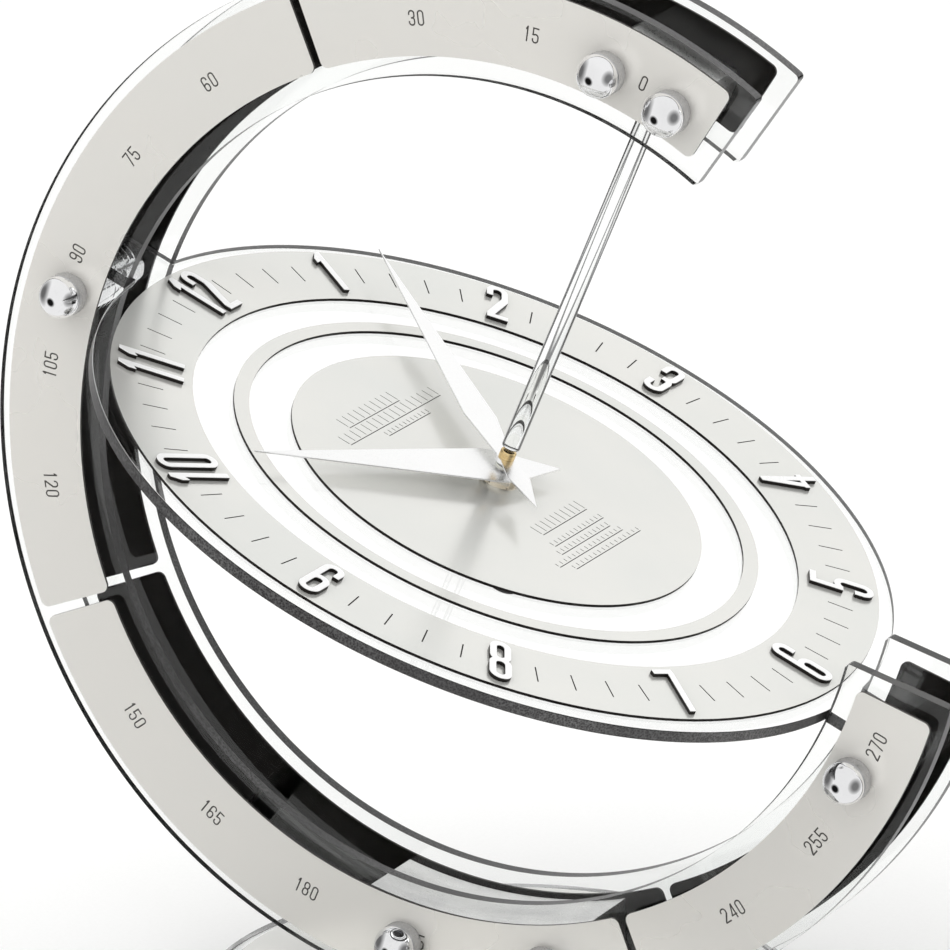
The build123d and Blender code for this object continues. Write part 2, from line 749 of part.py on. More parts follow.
def case_cover():
    """Back cover of the movement, open at the cell bay, with latch lugs."""
    half = CASE_SIZE / 2
    top = CASE_BOTTOM + COVER_THICKNESS
    plate = block((-half, half), (-half, half), (CASE_BOTTOM, top))
    plate = fillet(plate.edges().filter_by(Axis.Z), CASE_CORNER)
    inner = half - CASE_WALL
    plate -= block((CELL_WALL_X + BAY_WALL, inner), (-inner, inner), (CASE_BOTTOM - 1, top + 1))
    for y in (-LATCH_SPACING, LATCH_SPACING):
        y_range = (y - LATCH_LENGTH / 2, y + LATCH_LENGTH / 2)
        plate += block((-half, -half + LATCH_WIDTH), y_range, (CASE_BOTTOM - LATCH_HEIGHT, CASE_BOTTOM))
    return plate - disc(SETTING_RADIUS + SETTING_FIT, CASE_BOTTOM - 1, top + 1, *MOTION_AT)


def movement_bush():
    """Brass threaded bush pressed into the case front."""
    roof = CASE_TOP - CASE_WALL
    flange = disc(BUSH_FLANGE_RADIUS, roof - BUSH_FLANGE, roof)
    body = disc(BUSH_RADIUS, roof - BUSH_FLANGE, BUSH_TOP)
    body = chamfer(body.edges().group_by(Axis.Z)[-1], BUSH_CHAMFER)
    return body + flange - disc(BUSH_BORE, roof - BUSH_FLANGE - 1, BUSH_TOP + 1)


def dial_washer():
    """Thin brass washer under the clamping nut."""
    return tube(WASHER_RADIUS, BUSH_RADIUS + STUD_FIT, LAMINATE, LAMINATE + WASHER_THICKNESS)


def clamp_nut():
    """Round brass nut with two flats and a chamfered rim that clamps the dial."""
    low = LAMINATE + WASHER_THICKNESS
    nut = Pos(0, 0, low) * extrude(RegularPolygon(CLAMP_ACROSS, 6), amount=CLAMP_HEIGHT)
    rim = disc(CLAMP_ROUND, low, low + CLAMP_HEIGHT)
    nut = nut & chamfer(rim.edges().group_by(Axis.Z)[-1], CLAMP_CHAMFER)
    return nut - disc(BUSH_RADIUS + STICK, low - 1, low + CLAMP_HEIGHT + 1)


def rule_cuts(start, end, foot, tick, count):
    """Cuts for one engraved rule: a line and evenly spaced ticks that stop short above it."""
    depth = (LAMINATE - LINE_DEPTH, LAMINATE + 1)
    half = LINE_WIDTH / 2
    cuts = [block((start, end), (foot - half, foot + half), depth)]
    pitch = (end - start - LINE_WIDTH) / count
    low = foot + half + LINE_GAP
    for index in range(count + 1):
        x = start + half + index * pitch
        cuts.append(block((x - half, x + half), (low, low + tick), depth))
    return cuts


def centre_plate():
    """Satin centre plate with the bush passage and its engraved rules."""
    plate = disc(CENTRE_RADIUS, 0, LAMINATE) - disc(DIAL_BORE, -1, LAMINATE + 1)
    cuts = [cut for rule in RULES for cut in rule_cuts(*rule)]
    return plate - cuts


def pivot_holes(low, high):
    """Pivot holes of the four fast wheels."""
    places = (THIRD_AT, SECOND_AT, INTERMEDIATE_AT, ROTOR_AT)
    return Compound([staff(at, low, high, PIVOT_RADIUS + PIVOT_GAP) for at in places])


def train_bridge():
    """Bridge plate that carries the rear pivots."""
    high = BRIDGE_LOW + BRIDGE_THICKNESS
    plate = block(BRIDGE_X, BRIDGE_Y, (BRIDGE_LOW, high))
    plate = fillet(plate.edges().filter_by(Axis.Z), PLATE_CORNER_ROUNDING)
    plate -= pivot_holes(BRIDGE_LOW - 1, high + 1)
    plate -= staff((0, 0), BRIDGE_LOW - 1, high + 1, PIVOT_RADIUS + PIVOT_GAP)
    return plate - disc(SETTING_RADIUS + SETTING_FIT, BRIDGE_LOW - 1, high + 1, *MOTION_AT)


def train_plate():
    """Thin plate that carries the front pivots."""
    high = TRAIN_PLATE_LOW + TRAIN_PLATE_THICKNESS
    plate = block(BRIDGE_X, TRAIN_PLATE_Y, (TRAIN_PLATE_LOW, high))
    plate = fillet(plate.edges().filter_by(Axis.Z), PLATE_CORNER_ROUNDING)
    plate -= pivot_holes(TRAIN_PLATE_LOW - 1, high + 1)
    return plate - disc(ARBOR_RADIUS + SETTING_FIT, TRAIN_PLATE_LOW - 1, high + 1)


def circuit_board():
    """Small circuit board beside the coil, on the bridge."""
    top = BOARD_Z[1]
    return block(BOARD_X, BOARD_Y, BOARD_Z) + disc(CHIP_RADIUS, top, top + CHIP_HEIGHT, *CHIP_AT)


def coil():
    """Drive coil on its bobbin."""
    place = Pos(*COIL_AT)
    body = place * Rot(90, 0, 0) * Cylinder(COIL_RADIUS, COIL_LENGTH)
    body += place * Rot(90, 0, 0) * Cylinder(BOBBIN_RADIUS, BOBBIN_LENGTH)
    for side in (-1, 1):
        body += place * Pos(0, side * CHEEK_SHIFT, 0) * Box(CHEEK_SIZE, CHEEK_THICKNESS, CHEEK_SIZE)
    return body - place * Box(*CORE_SLOT)


def stator():
    """Laminated yoke from the coil core to the rotor hole."""
    low, high = STATOR_Z
    ring = disc(STATOR_RADIUS, low, high, *ROTOR_AT)
    arm = block(STATOR_ARM_X, STATOR_ARM_Y, STATOR_Z)
    return ring + arm - disc(STATOR_BORE, low - 1, high + 1, *ROTOR_AT)


def rotor():
    """Magnet rotor with its pinion."""
    towards = bearing(ROTOR_AT, INTERMEDIATE_AT)
    body = disc(MAGNET_RADIUS, *MAGNET_Z, *ROTOR_AT) + staff(ROTOR_AT, STAFF_LOW, STAFF_HIGH)
    return body + toothed(ROTOR_LEAVES, TRAIN_MODULE, *ROTOR_PINION_Z, ROTOR_AT, towards)


def train_wheel(at, teeth, wheel_low, pinion_range, driven_at, driver_at):
    """Wheel and pinion on one axle, in mesh with both neighbours."""
    wheel_phase = meshed_phase(teeth, bearing(at, driver_at))
    pinion_phase = bearing(at, driven_at)
    body = staff(at, STAFF_LOW, STAFF_HIGH)
    body += toothed(teeth, TRAIN_MODULE, wheel_low, wheel_low + WHEEL_THICKNESS, at, wheel_phase)
    return body + toothed(LEAVES, TRAIN_MODULE, *pinion_range, at, pinion_phase)


def intermediate_wheel():
    """First reduction wheel."""
    heights = (INTERMEDIATE_WHEEL_Z, INTERMEDIATE_PINION_Z)
    return train_wheel(INTERMEDIATE_AT, INTERMEDIATE_TEETH, *heights, SECOND_AT, ROTOR_AT)


def second_wheel():
    """Wheel that turns once a minute."""
    heights = (SECOND_WHEEL_Z, SECOND_PINION_Z)
    return train_wheel(SECOND_AT, SECOND_TEETH, *heights, THIRD_AT, INTERMEDIATE_AT)


def third_wheel():
    """Third wheel."""
    return train_wheel(THIRD_AT, THIRD_TEETH, THIRD_WHEEL_Z, THIRD_PINION_Z, (0, 0), SECOND_AT)


def centre_wheel():
    """Centre wheel, a slipping fit on the minute arbor."""
    phase = meshed_phase(CENTRE_TEETH, bearing((0, 0), THIRD_AT))
    top = CENTRE_WHEEL_Z + WHEEL_THICKNESS
    wheel = toothed(CENTRE_TEETH, TRAIN_MODULE, CENTRE_WHEEL_Z, top, (0, 0), phase)
    wheel += disc(CENTRE_HUB_RADIUS, CENTRE_HUB_LOW, top)
    return wheel - disc(CLUTCH_RADIUS + PIVOT_GAP, CENTRE_HUB_LOW - 1, top + 1)


def minute_arbor():
    """Minute arbor with the cannon pinion and the hand seat."""
    body = disc(ARBOR_RADIUS, CLUTCH_HIGH, MINUTE_HAND_Z + ARBOR_ABOVE_HAND)
    body += disc(CLUTCH_RADIUS, CLUTCH_LOW, CLUTCH_HIGH)
    body += disc(PIVOT_RADIUS, STAFF_LOW, CLUTCH_LOW)
    towards = bearing((0, 0), MOTION_AT)
    return body + toothed(CANNON_TEETH, MINUTE_MODULE, *CANNON_Z, (0, 0), towards)


def hour_wheel():
    """Hour wheel with the pipe that carries the hour hand."""
    phase = meshed_phase(HOUR_TEETH, bearing((0, 0), MOTION_AT))
    low, high = HOUR_WHEEL_Z
    top = HOUR_HAND_Z + HOUR_PIPE_ABOVE_HAND
    wheel = toothed(HOUR_TEETH, HOUR_MODULE, low, high, (0, 0), phase)
    wheel += disc(HOUR_PIPE_RADIUS, low, top)
    return wheel - disc(ARBOR_RADIUS + PIVOT_GAP, low - 1, top + 1)


def motion_wheel():
    """Motion-work wheel and pinion on the setting arbor."""
    phase = meshed_phase(MOTION_TEETH, bearing(MOTION_AT, (0, 0)))
    low, high = MOTION_WHEEL_Z
    towards = bearing(MOTION_AT, (0, 0))
    body = toothed(MOTION_TEETH, MINUTE_MODULE, low, high, MOTION_AT, phase)
    body += toothed(MOTION_LEAVES, HOUR_MODULE, high, MOTION_PINION_TOP, MOTION_AT, towards)
    body += staff(MOTION_AT, low, MOTION_TOP)
    return body + disc(SETTING_RADIUS, CASE_BOTTOM - SETTING_STUB, low, *MOTION_AT)


def setting_knob():
    """Knurled knob on the back of the movement."""
    low = CASE_BOTTOM - KNOB_LOW
    knob = disc(KNOB_RADIUS, low, CASE_BOTTOM - KNOB_GAP, *MOTION_AT)
    knob = chamfer(knob.edges().group_by(Axis.Z)[0], KNOB_CHAMFER)
    grooves = []
    for index in range(KNOB_GROOVES):
        x, y = step_from(MOTION_AT, KNOB_GROOVE_CIRCLE, index * 360 / KNOB_GROOVES)
        grooves.append(disc(KNOB_GROOVE_RADIUS, low - 1, CASE_BOTTOM, x, y))
    knob -= Compound(grooves)
    stub_end = CASE_BOTTOM - SETTING_STUB - STICK
    return knob - disc(SETTING_RADIUS + STICK, stub_end, CASE_BOTTOM, *MOTION_AT)


def cell():
    """Cylindrical cell along the case's y."""
    body = Cylinder(CELL_RADIUS, CELL_LENGTH - CELL_BUTTON)
    body = Pos(CELL_X, 0, CELL_Z) * Rot(90, 0, 0) * fillet(body.edges(), CELL_ROUNDING)
    button_y = (CELL_BUTTON - CELL_LENGTH) / 2
    button = Rot(90, 0, 0) * Cylinder(CELL_BUTTON_RADIUS, CELL_BUTTON)
    return body + Pos(CELL_X, button_y, CELL_Z) * button


def cell_contacts():
    """Two sprung contact strips at the ends of the cell bay."""
    end = CASE_SIZE / 2 - CASE_WALL
    strips = []
    for side in (-1, 1):
        y_range = sorted((side * end, side * (end - CONTACT_THICKNESS)))
        half = CONTACT_HALF_WIDTH
        strip = block((CELL_X - half, CELL_X + half), y_range, (CELL_Z - half, CELL_Z + half))
        bump = Rot(90, 0, 0) * Cylinder(CONTACT_BUMP_RADIUS, CONTACT_BUMP)
        strips.append(strip + Pos(CELL_X, side * (end - CONTACT_BUMP - 0.1), CELL_Z) * bump)
    return Compound(strips)


# Hands

def hand_outline(tip, wide_at, wide, waist, tail_at, tail_wide, tail):
    """Kite blade with a smaller kite tail, pointing along y."""
    right = [(0, tip), (wide, wide_at), (waist, 0), (tail_wide, -tail_at), (0, -tail)]
    left = [(-x, y) for x, y in reversed(right[1:-1])]
    return outline(*right, *left)


def hand(shape, height, bore, boss, turn):
    """Flat hand with a round boss under it, turned clockwise from 12."""
    low = height - BOSS_HEIGHT
    body = Pos(0, 0, height) * extrude(shape, amount=HAND_SHEET)
    body += disc(boss, low, height)
    body += disc(boss, height, height + HAND_SHEET)
    return Rot(0, 0, -turn) * (body - disc(bore, low - 1, height + HAND_SHEET + 1))


def minute_hand():
    """Long minute hand."""
    blade = hand_outline(*MINUTE_BLADE)
    bore = ARBOR_RADIUS + STICK
    return hand(blade, MINUTE_HAND_Z, bore, MINUTE_BOSS_RADIUS, 6 * MINUTE_SHOWN)


def hour_hand():
    """Broad hour hand."""
    blade = hand_outline(*HOUR_BLADE)
    bore = HOUR_PIPE_RADIUS + STICK
    return hand(blade, HOUR_HAND_Z, bore, HOUR_BOSS_RADIUS, 300 + MINUTE_SHOWN / 2)


def hand_nut():
    """Brass cap nut over the end of the minute arbor."""
    low = MINUTE_HAND_Z + HAND_SHEET
    nut = disc(HAND_NUT_RADIUS, low, low + HAND_NUT_HEIGHT)
    nut = fillet(nut.edges().group_by(Axis.Z)[-1], HAND_NUT_ROUNDING)
    arbor_top = MINUTE_HAND_Z + ARBOR_ABOVE_HAND + STICK
    return nut - disc(ARBOR_RADIUS + STICK, low - 1, arbor_top)


def build_stand():
    """Base, meridian and polar rod."""
    save("base_feet", base_feet())
    save("base_weight", base_weight())
    save("base_disc", base_disc())
    save("base_face", base_face())
    save("base_screws", base_screws())
    save("saddle_block", saddle_block())
    for word, side in (("front", -1), ("back", 1)):
        save_dial(f"meridian_plate_{word}", meridian_plate(side))
        for index, (start, end) in enumerate(band_limits(), 1):
            save_dial(f"scale_band_{word}_{index}", scale_band(side, start, end))
    save_dial("tie_studs", tie_studs())
    save_dial("dome_nuts", dome_nuts(all_pins(STUD_RADIUS, -1, 1)))
    save_dial("tab_spacers", tab_spacers())
    save_dial("pole_block", pole_block())
    save_dial("grub_screw", grub_screw())
    save_dial("polar_rod", polar_rod())


def build_dial():
    """Clear dial, its laminate rings and its numerals."""
    save_dial("dial_disc", dial_disc())
    save_dial("hour_ring", hour_ring())
    save_dial("thin_ring", tube(THIN_OUTER, THIN_INNER, 0, LAMINATE))
    save_dial("centre_plate", centre_plate())
    save_dial("hour_numerals", hour_numerals())


def build_movement():
    """Quartz movement, its wheel work and the hands."""
    makers = (
        case_front, case_cover, movement_bush, dial_washer, clamp_nut, train_bridge, train_plate,
        circuit_board, coil, stator, rotor, intermediate_wheel, second_wheel, third_wheel, centre_wheel,
        minute_arbor, hour_wheel, motion_wheel, setting_knob, cell, cell_contacts,
        minute_hand, hour_hand, hand_nut,
    )
    for maker in makers:
        save_dial(maker.__name__, maker())


build_stand()
build_dial()
build_movement()
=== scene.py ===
"""Armillary table clock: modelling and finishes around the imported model.

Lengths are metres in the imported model's own frame. Two working frames are used.
The dial frame has x towards 3 o'clock, y towards 12 o'clock and z along the polar
axis. The meridian frame lies in the plane of the C-shaped ring, x along the polar
axis and y towards 12 o'clock, so an angle in it runs from the pole to 12 o'clock.
"""

import json
import logging
import math
from dataclasses import dataclass, field
from enum import Enum
from typing import Callable, Iterable

import bpy
from mathutils import Euler, Matrix, Vector


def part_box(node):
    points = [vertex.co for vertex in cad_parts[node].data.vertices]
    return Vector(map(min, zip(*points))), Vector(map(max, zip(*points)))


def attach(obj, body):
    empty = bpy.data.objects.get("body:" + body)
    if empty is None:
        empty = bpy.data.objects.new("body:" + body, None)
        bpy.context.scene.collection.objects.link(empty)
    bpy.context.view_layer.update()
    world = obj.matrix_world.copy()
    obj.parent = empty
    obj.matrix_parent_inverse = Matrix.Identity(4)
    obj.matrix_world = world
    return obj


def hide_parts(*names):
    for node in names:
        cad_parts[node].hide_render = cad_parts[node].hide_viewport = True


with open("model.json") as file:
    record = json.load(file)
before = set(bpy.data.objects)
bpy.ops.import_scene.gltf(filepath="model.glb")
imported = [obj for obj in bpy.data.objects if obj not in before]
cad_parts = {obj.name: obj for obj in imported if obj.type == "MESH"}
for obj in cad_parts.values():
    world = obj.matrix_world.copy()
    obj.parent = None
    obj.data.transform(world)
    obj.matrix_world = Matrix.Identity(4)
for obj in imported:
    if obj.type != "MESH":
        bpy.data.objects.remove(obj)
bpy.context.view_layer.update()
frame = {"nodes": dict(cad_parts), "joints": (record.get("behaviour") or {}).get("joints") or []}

LOG = logging.getLogger("armillary")
MM = 0.001
# Distance under which vertices are merged.
WELD = 2e-6
# Size of the plane that is merged into the first vertex of a profile.
SEED = 10.0 * MM
# Angle in degrees under which neighbouring triangles make one flat face.
FLAT_ANGLE = 0.3
# Part of a normal along z under which a face counts as upright.
UPRIGHT = 0.3
# Half the height over which a laminate changes from core to skin.
MASK_BLUR = 0.01 * MM
# Depth of a fine grain.
FINE_BUMP = 0.05 * MM
ACRYLIC_IOR = 1.49
WHITE = (1.0, 1.0, 1.0, 1.0)

Triple = tuple[float, float, float]
Colour = Triple
Profile = list[tuple[float, float]]


class Body(Enum):
    """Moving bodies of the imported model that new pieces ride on."""

    STAND = "stand"
    MINUTE = "minute_work"
    HOUR = "hour_work"
    SETTING = "setting_work"


class Slot(Enum):
    """Material slots of the record."""

    ACRYLIC = "clear_acrylic"
    LAMINATE = "satin_laminate"
    CHROME = "chrome"
    ALUMINIUM = "brushed_aluminium"
    HAND = "hand_silver"
    BRASS = "brass"
    BLACK = "black_plastic"


class Side(Enum):
    """Front or back plate of the meridian; the value is the sign of Y that it faces."""

    FRONT = -1
    BACK = 1


def joint(name: str) -> dict:
    """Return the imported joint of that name."""
    return next(item for item in frame["joints"] if item["name"] == name)


AXIS = Vector(joint("minute_hand_turn")["axis"]).normalized()
CENTRE = Vector(joint("minute_hand_turn")["pos_m"])
THREE = Vector((0.0, 1.0, 0.0))
TWELVE = AXIS.cross(THREE)


def basis(x: Vector, y: Vector, z: Vector, origin: Vector) -> Matrix:
    """Return the matrix with these axes as columns and this origin."""
    turn = Matrix((x, y, z)).transposed().to_4x4()
    return Matrix.Translation(origin) @ turn


DIAL = basis(THREE, TWELVE, AXIS, CENTRE)
MERIDIAN = basis(AXIS, TWELVE, -THREE, CENTRE)


# Modelling bench


class Bench:
    """Modelling steps, each on a fresh selection, as they are done by hand."""

    @staticmethod
    def clear() -> None:
        """Leave edit mode and deselect every object."""
        if bpy.context.object and bpy.context.object.mode != "OBJECT":
            bpy.ops.object.mode_set(mode="OBJECT")
        bpy.ops.object.select_all(action="DESELECT")

    @staticmethod
    def pick(piece: bpy.types.Object) -> None:
        """Make one object the only selected and the active one.

        Args:
            piece: The object to select.
        """
        Bench.clear()
        piece.select_set(True)
        bpy.context.view_layer.objects.active = piece

    @staticmethod
    def edit(piece: bpy.types.Object, mode: str = "VERT") -> None:
        """Enter edit mode on one object with everything selected.

        Args:
            piece: The mesh object.
            mode: VERT, EDGE or FACE.
        """
        Bench.pick(piece)
        bpy.ops.object.mode_set(mode="EDIT")
        bpy.ops.mesh.select_mode(type=mode)
        bpy.ops.mesh.select_all(action="SELECT")

    @staticmethod
    def select(piece: bpy.types.Object, mode: str, test: Callable) -> None:
        """Select elements by a test, and stay in edit mode.

        Args:
            piece: The mesh object.
            mode: VERT, EDGE or FACE.
            test: Called with each element; true selects it.
        """
        Bench.edit(piece, mode)
        bpy.ops.mesh.select_all(action="DESELECT")
        bpy.ops.object.mode_set(mode="OBJECT")
        mesh = piece.data
        items = {"VERT": mesh.vertices, "EDGE": mesh.edges, "FACE": mesh.polygons}[mode]
        for item in items:
            item.select = bool(test(item))
        bpy.ops.object.mode_set(mode="EDIT")

    @staticmethod
    def tidy(piece: bpy.types.Object) -> None:
        """Merge doubles and point all normals outwards.

        Args:
            piece: The mesh object.
        """
        Bench.edit(piece)
        bpy.ops.mesh.remove_doubles(threshold=WELD)
        bpy.ops.mesh.normals_make_consistent(inside=False)
        Bench.clear()

    @staticmethod
    def line(name: str, points: Profile, closed: bool) -> bpy.types.Object:
        """Draw a profile in the XZ plane by extruding one vertex along it.

        Args:
            name: Name of the new object.
            points: Radius and height of each profile point.
            closed: Whether the last point joins the first with a face.

        Returns:
            The new mesh object.
        """
        Bench.clear()
        bpy.ops.mesh.primitive_plane_add(size=SEED, location=(0, 0, 0))
        piece = bpy.context.object
        piece.name = piece.data.name = name
        Bench.edit(piece)
        bpy.ops.mesh.merge(type="CENTER")
        radius, height = points[0]
        bpy.ops.transform.translate(value=(radius, 0, height))
        for (r0, z0), (r1, z1) in zip(points, points[1:]):
            step = {"value": (r1 - r0, 0, z1 - z0)}
            bpy.ops.mesh.extrude_region_move(TRANSFORM_OT_translate=step)
        if closed:
            bpy.ops.mesh.select_all(action="SELECT")
            bpy.ops.mesh.edge_face_add()
        return piece

    @staticmethod
    def lathe(name: str, points: Profile, steps: int) -> bpy.types.Object:
        """Spin a profile right round the local z axis into a closed solid.

        Args:
            name: Name of the new object.
            points: Radius and height of each profile point.
            steps: Number of segments.

        Returns:
            The new mesh object.
        """
        piece = Bench.line(name, points, closed=False)
        bpy.ops.mesh.select_all(action="SELECT")
        bpy.ops.mesh.spin(steps=steps, angle=math.tau, center=(0, 0, 0), axis=(0, 0, 1))
        Bench.tidy(piece)
        return piece

    @staticmethod
    def sector(name: str, points: Profile, start: float, sweep: float,
               steps: int) -> bpy.types.Object:
        """Spin a closed profile part of the way round the local z axis.

        Args:
            name: Name of the new object.
            points: Closed profile, as radius and height.
            start: Angle in degrees at which the solid starts.
            sweep: Angle in degrees that it covers.
            steps: Number of segments.

        Returns:
            The new mesh object with both ends closed.
        """
        piece = Bench.line(name, points, closed=True)
        Bench.clear()
        piece.matrix_world = Matrix.Rotation(math.radians(start), 4, "Z")
        Bench.apply_place(piece)
        Bench.edit(piece)
        turn = -math.radians(sweep)
        bpy.ops.mesh.spin(steps=steps, angle=turn, center=(0, 0, 0), axis=(0, 0, 1))
        Bench.tidy(piece)
        return piece

    @staticmethod
    def cylinder(name: str, radius: float, low: float, high: float, x: float = 0.0,
                 y: float = 0.0, verts: int = 48) -> bpy.types.Object:
        """Add a cylinder that stands between two heights.

        Args:
            name: Name of the new object.
            radius: Its radius.
            low: Height of its lower end.
            high: Height of its upper end.
            x: Place of its axis along x.
            y: Place of its axis along y.
            verts: Number of sides.

        Returns:
            The new mesh object.
        """
        Bench.clear()
        bpy.ops.mesh.primitive_cylinder_add(vertices=verts, radius=radius, depth=high - low,
                                            location=(x, y, (low + high) / 2))
        piece = bpy.context.object
        piece.name = piece.data.name = name
        Bench.apply_place(piece)
        return piece

    @staticmethod
    def block(name: str, low: Triple, high: Triple) -> bpy.types.Object:
        """Add a box from its low to its high corner.

        Args:
            name: Name of the new object.
            low: Its lowest corner.
            high: Its highest corner.

        Returns:
            The new mesh object.
        """
        Bench.clear()
        middle = [(a + b) / 2 for a, b in zip(low, high)]
        bpy.ops.mesh.primitive_cube_add(size=1, location=middle)
        piece = bpy.context.object
        piece.name = piece.data.name = name
        piece.scale = [b - a for a, b in zip(low, high)]
        Bench.apply_place(piece)
        return piece

    @staticmethod
    def apply_place(piece: bpy.types.Object) -> None:
        """Write an object's place into its mesh."""
        Bench.pick(piece)
        bpy.ops.object.transform_apply(location=True, rotation=True, scale=True)

    @staticmethod
    def place(piece: bpy.types.Object, matrix: Matrix) -> bpy.types.Object:
        """Move a piece from its working frame into the model's frame.

        Args:
            piece: The mesh object.
            matrix: The working frame's place in the model's frame.

        Returns:
            The same object.
        """
        piece.matrix_world = matrix
        Bench.apply_place(piece)
        return piece

    @staticmethod
    def modify(piece: bpy.types.Object, kind: str, **settings: object) -> None:
        """Add one modifier and apply it.

        Args:
            piece: The mesh object.
            kind: The modifier's type.
            **settings: The modifier's properties.
        """
        Bench.pick(piece)
        modifier = piece.modifiers.new(kind.lower(), kind)
        for key, value in settings.items():
            setattr(modifier, key, value)
        bpy.ops.object.modifier_apply(modifier=modifier.name)

    @staticmethod
    def combine(piece: bpy.types.Object, tools: Iterable[bpy.types.Object], how: str) -> None:
        """Cut, join or intersect a piece with tools, which are then removed.

        Args:
            piece: The mesh object.
            tools: Solids to work with.
            how: DIFFERENCE, UNION or INTERSECT.
        """
        for tool in tools:
            Bench.modify(piece, "BOOLEAN", operation=how, solver="EXACT", object=tool)
            bpy.data.objects.remove(tool)

    @staticmethod
    def soften(piece: bpy.types.Object, width: float, angle: float = 40.0) -> None:
        """Round the sharp edges and shade the rest smooth.

        Args:
            piece: The mesh object.
            width: Width of the rounding.
            angle: Edges sharper than this many degrees are rounded.
        """
        Bench.modify(piece, "BEVEL", width=width, segments=2, limit_method="ANGLE",
                     angle_limit=math.radians(angle))
        Bench.smooth(piece)
        Bench.flatten(piece)

    @staticmethod
    def smooth(piece: bpy.types.Object, angle: float = 35.0) -> None:
        """Shade smooth below an angle."""
        Bench.pick(piece)
        bpy.ops.object.shade_smooth_by_angle(angle=math.radians(angle))

    @staticmethod
    def flatten(piece: bpy.types.Object) -> None:
        """Keep the shading of large flat faces flat, beside their rounded edges."""
        Bench.modify(piece, "WEIGHTED_NORMAL", mode="FACE_AREA", weight=100, keep_sharp=True)

    @staticmethod
    def copy_node(node: str, name: str, split: bool = False) -> bpy.types.Object:
        """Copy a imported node's mesh and merge its loose triangles into flat faces.

        Args:
            node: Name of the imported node.
            name: Name of the copy.
            split: Whether to split its concave faces, as round an opening.

        Returns:
            The new mesh object.
        """
        source = frame["nodes"][node]
        piece = bpy.data.objects.new(name, source.data.copy())
        bpy.context.scene.collection.objects.link(piece)
        piece.data.name = name
        piece.data.materials.clear()
        for face in piece.data.polygons:
            face.material_index = 0
        Bench.edit(piece)
        bpy.ops.mesh.customdata_custom_splitnormals_clear()
        bpy.ops.mesh.remove_doubles(threshold=WELD)
        bpy.ops.mesh.dissolve_limited(angle_limit=math.radians(FLAT_ANGLE))
        if split:
            bpy.ops.mesh.vert_connect_concave()
        Bench.clear()
        return piece

    @staticmethod
    def join(pieces: list[bpy.types.Object], name: str) -> bpy.types.Object:
        """Join pieces into the first one and name it.

        Args:
            pieces: Mesh objects in the same frame.
            name: Name of the joined piece.

        Returns:
            The joined object.
        """
        Bench.clear()
        for piece in pieces:
            piece.select_set(True)
        bpy.context.view_layer.objects.active = pieces[0]
        bpy.ops.object.join()
        joined = bpy.context.object
        joined.name = joined.data.name = name
        return joined

    @staticmethod
    def paint(piece: bpy.types.Object, main: "Finish", other: "Finish", test: Callable) -> None:
        """Give a piece two finishes, the second where a test on its faces is true.

        Args:
            piece: The mesh object.
            main: Finish of most faces.
            other: Finish of the picked faces.
            test: Called with each face; true picks it.
        """
        for finish in (main, other):
            piece.data.materials.append(finish.material())
        for face in piece.data.polygons:
            face.material_index = 1 if test(face) else 0


# Shader parts


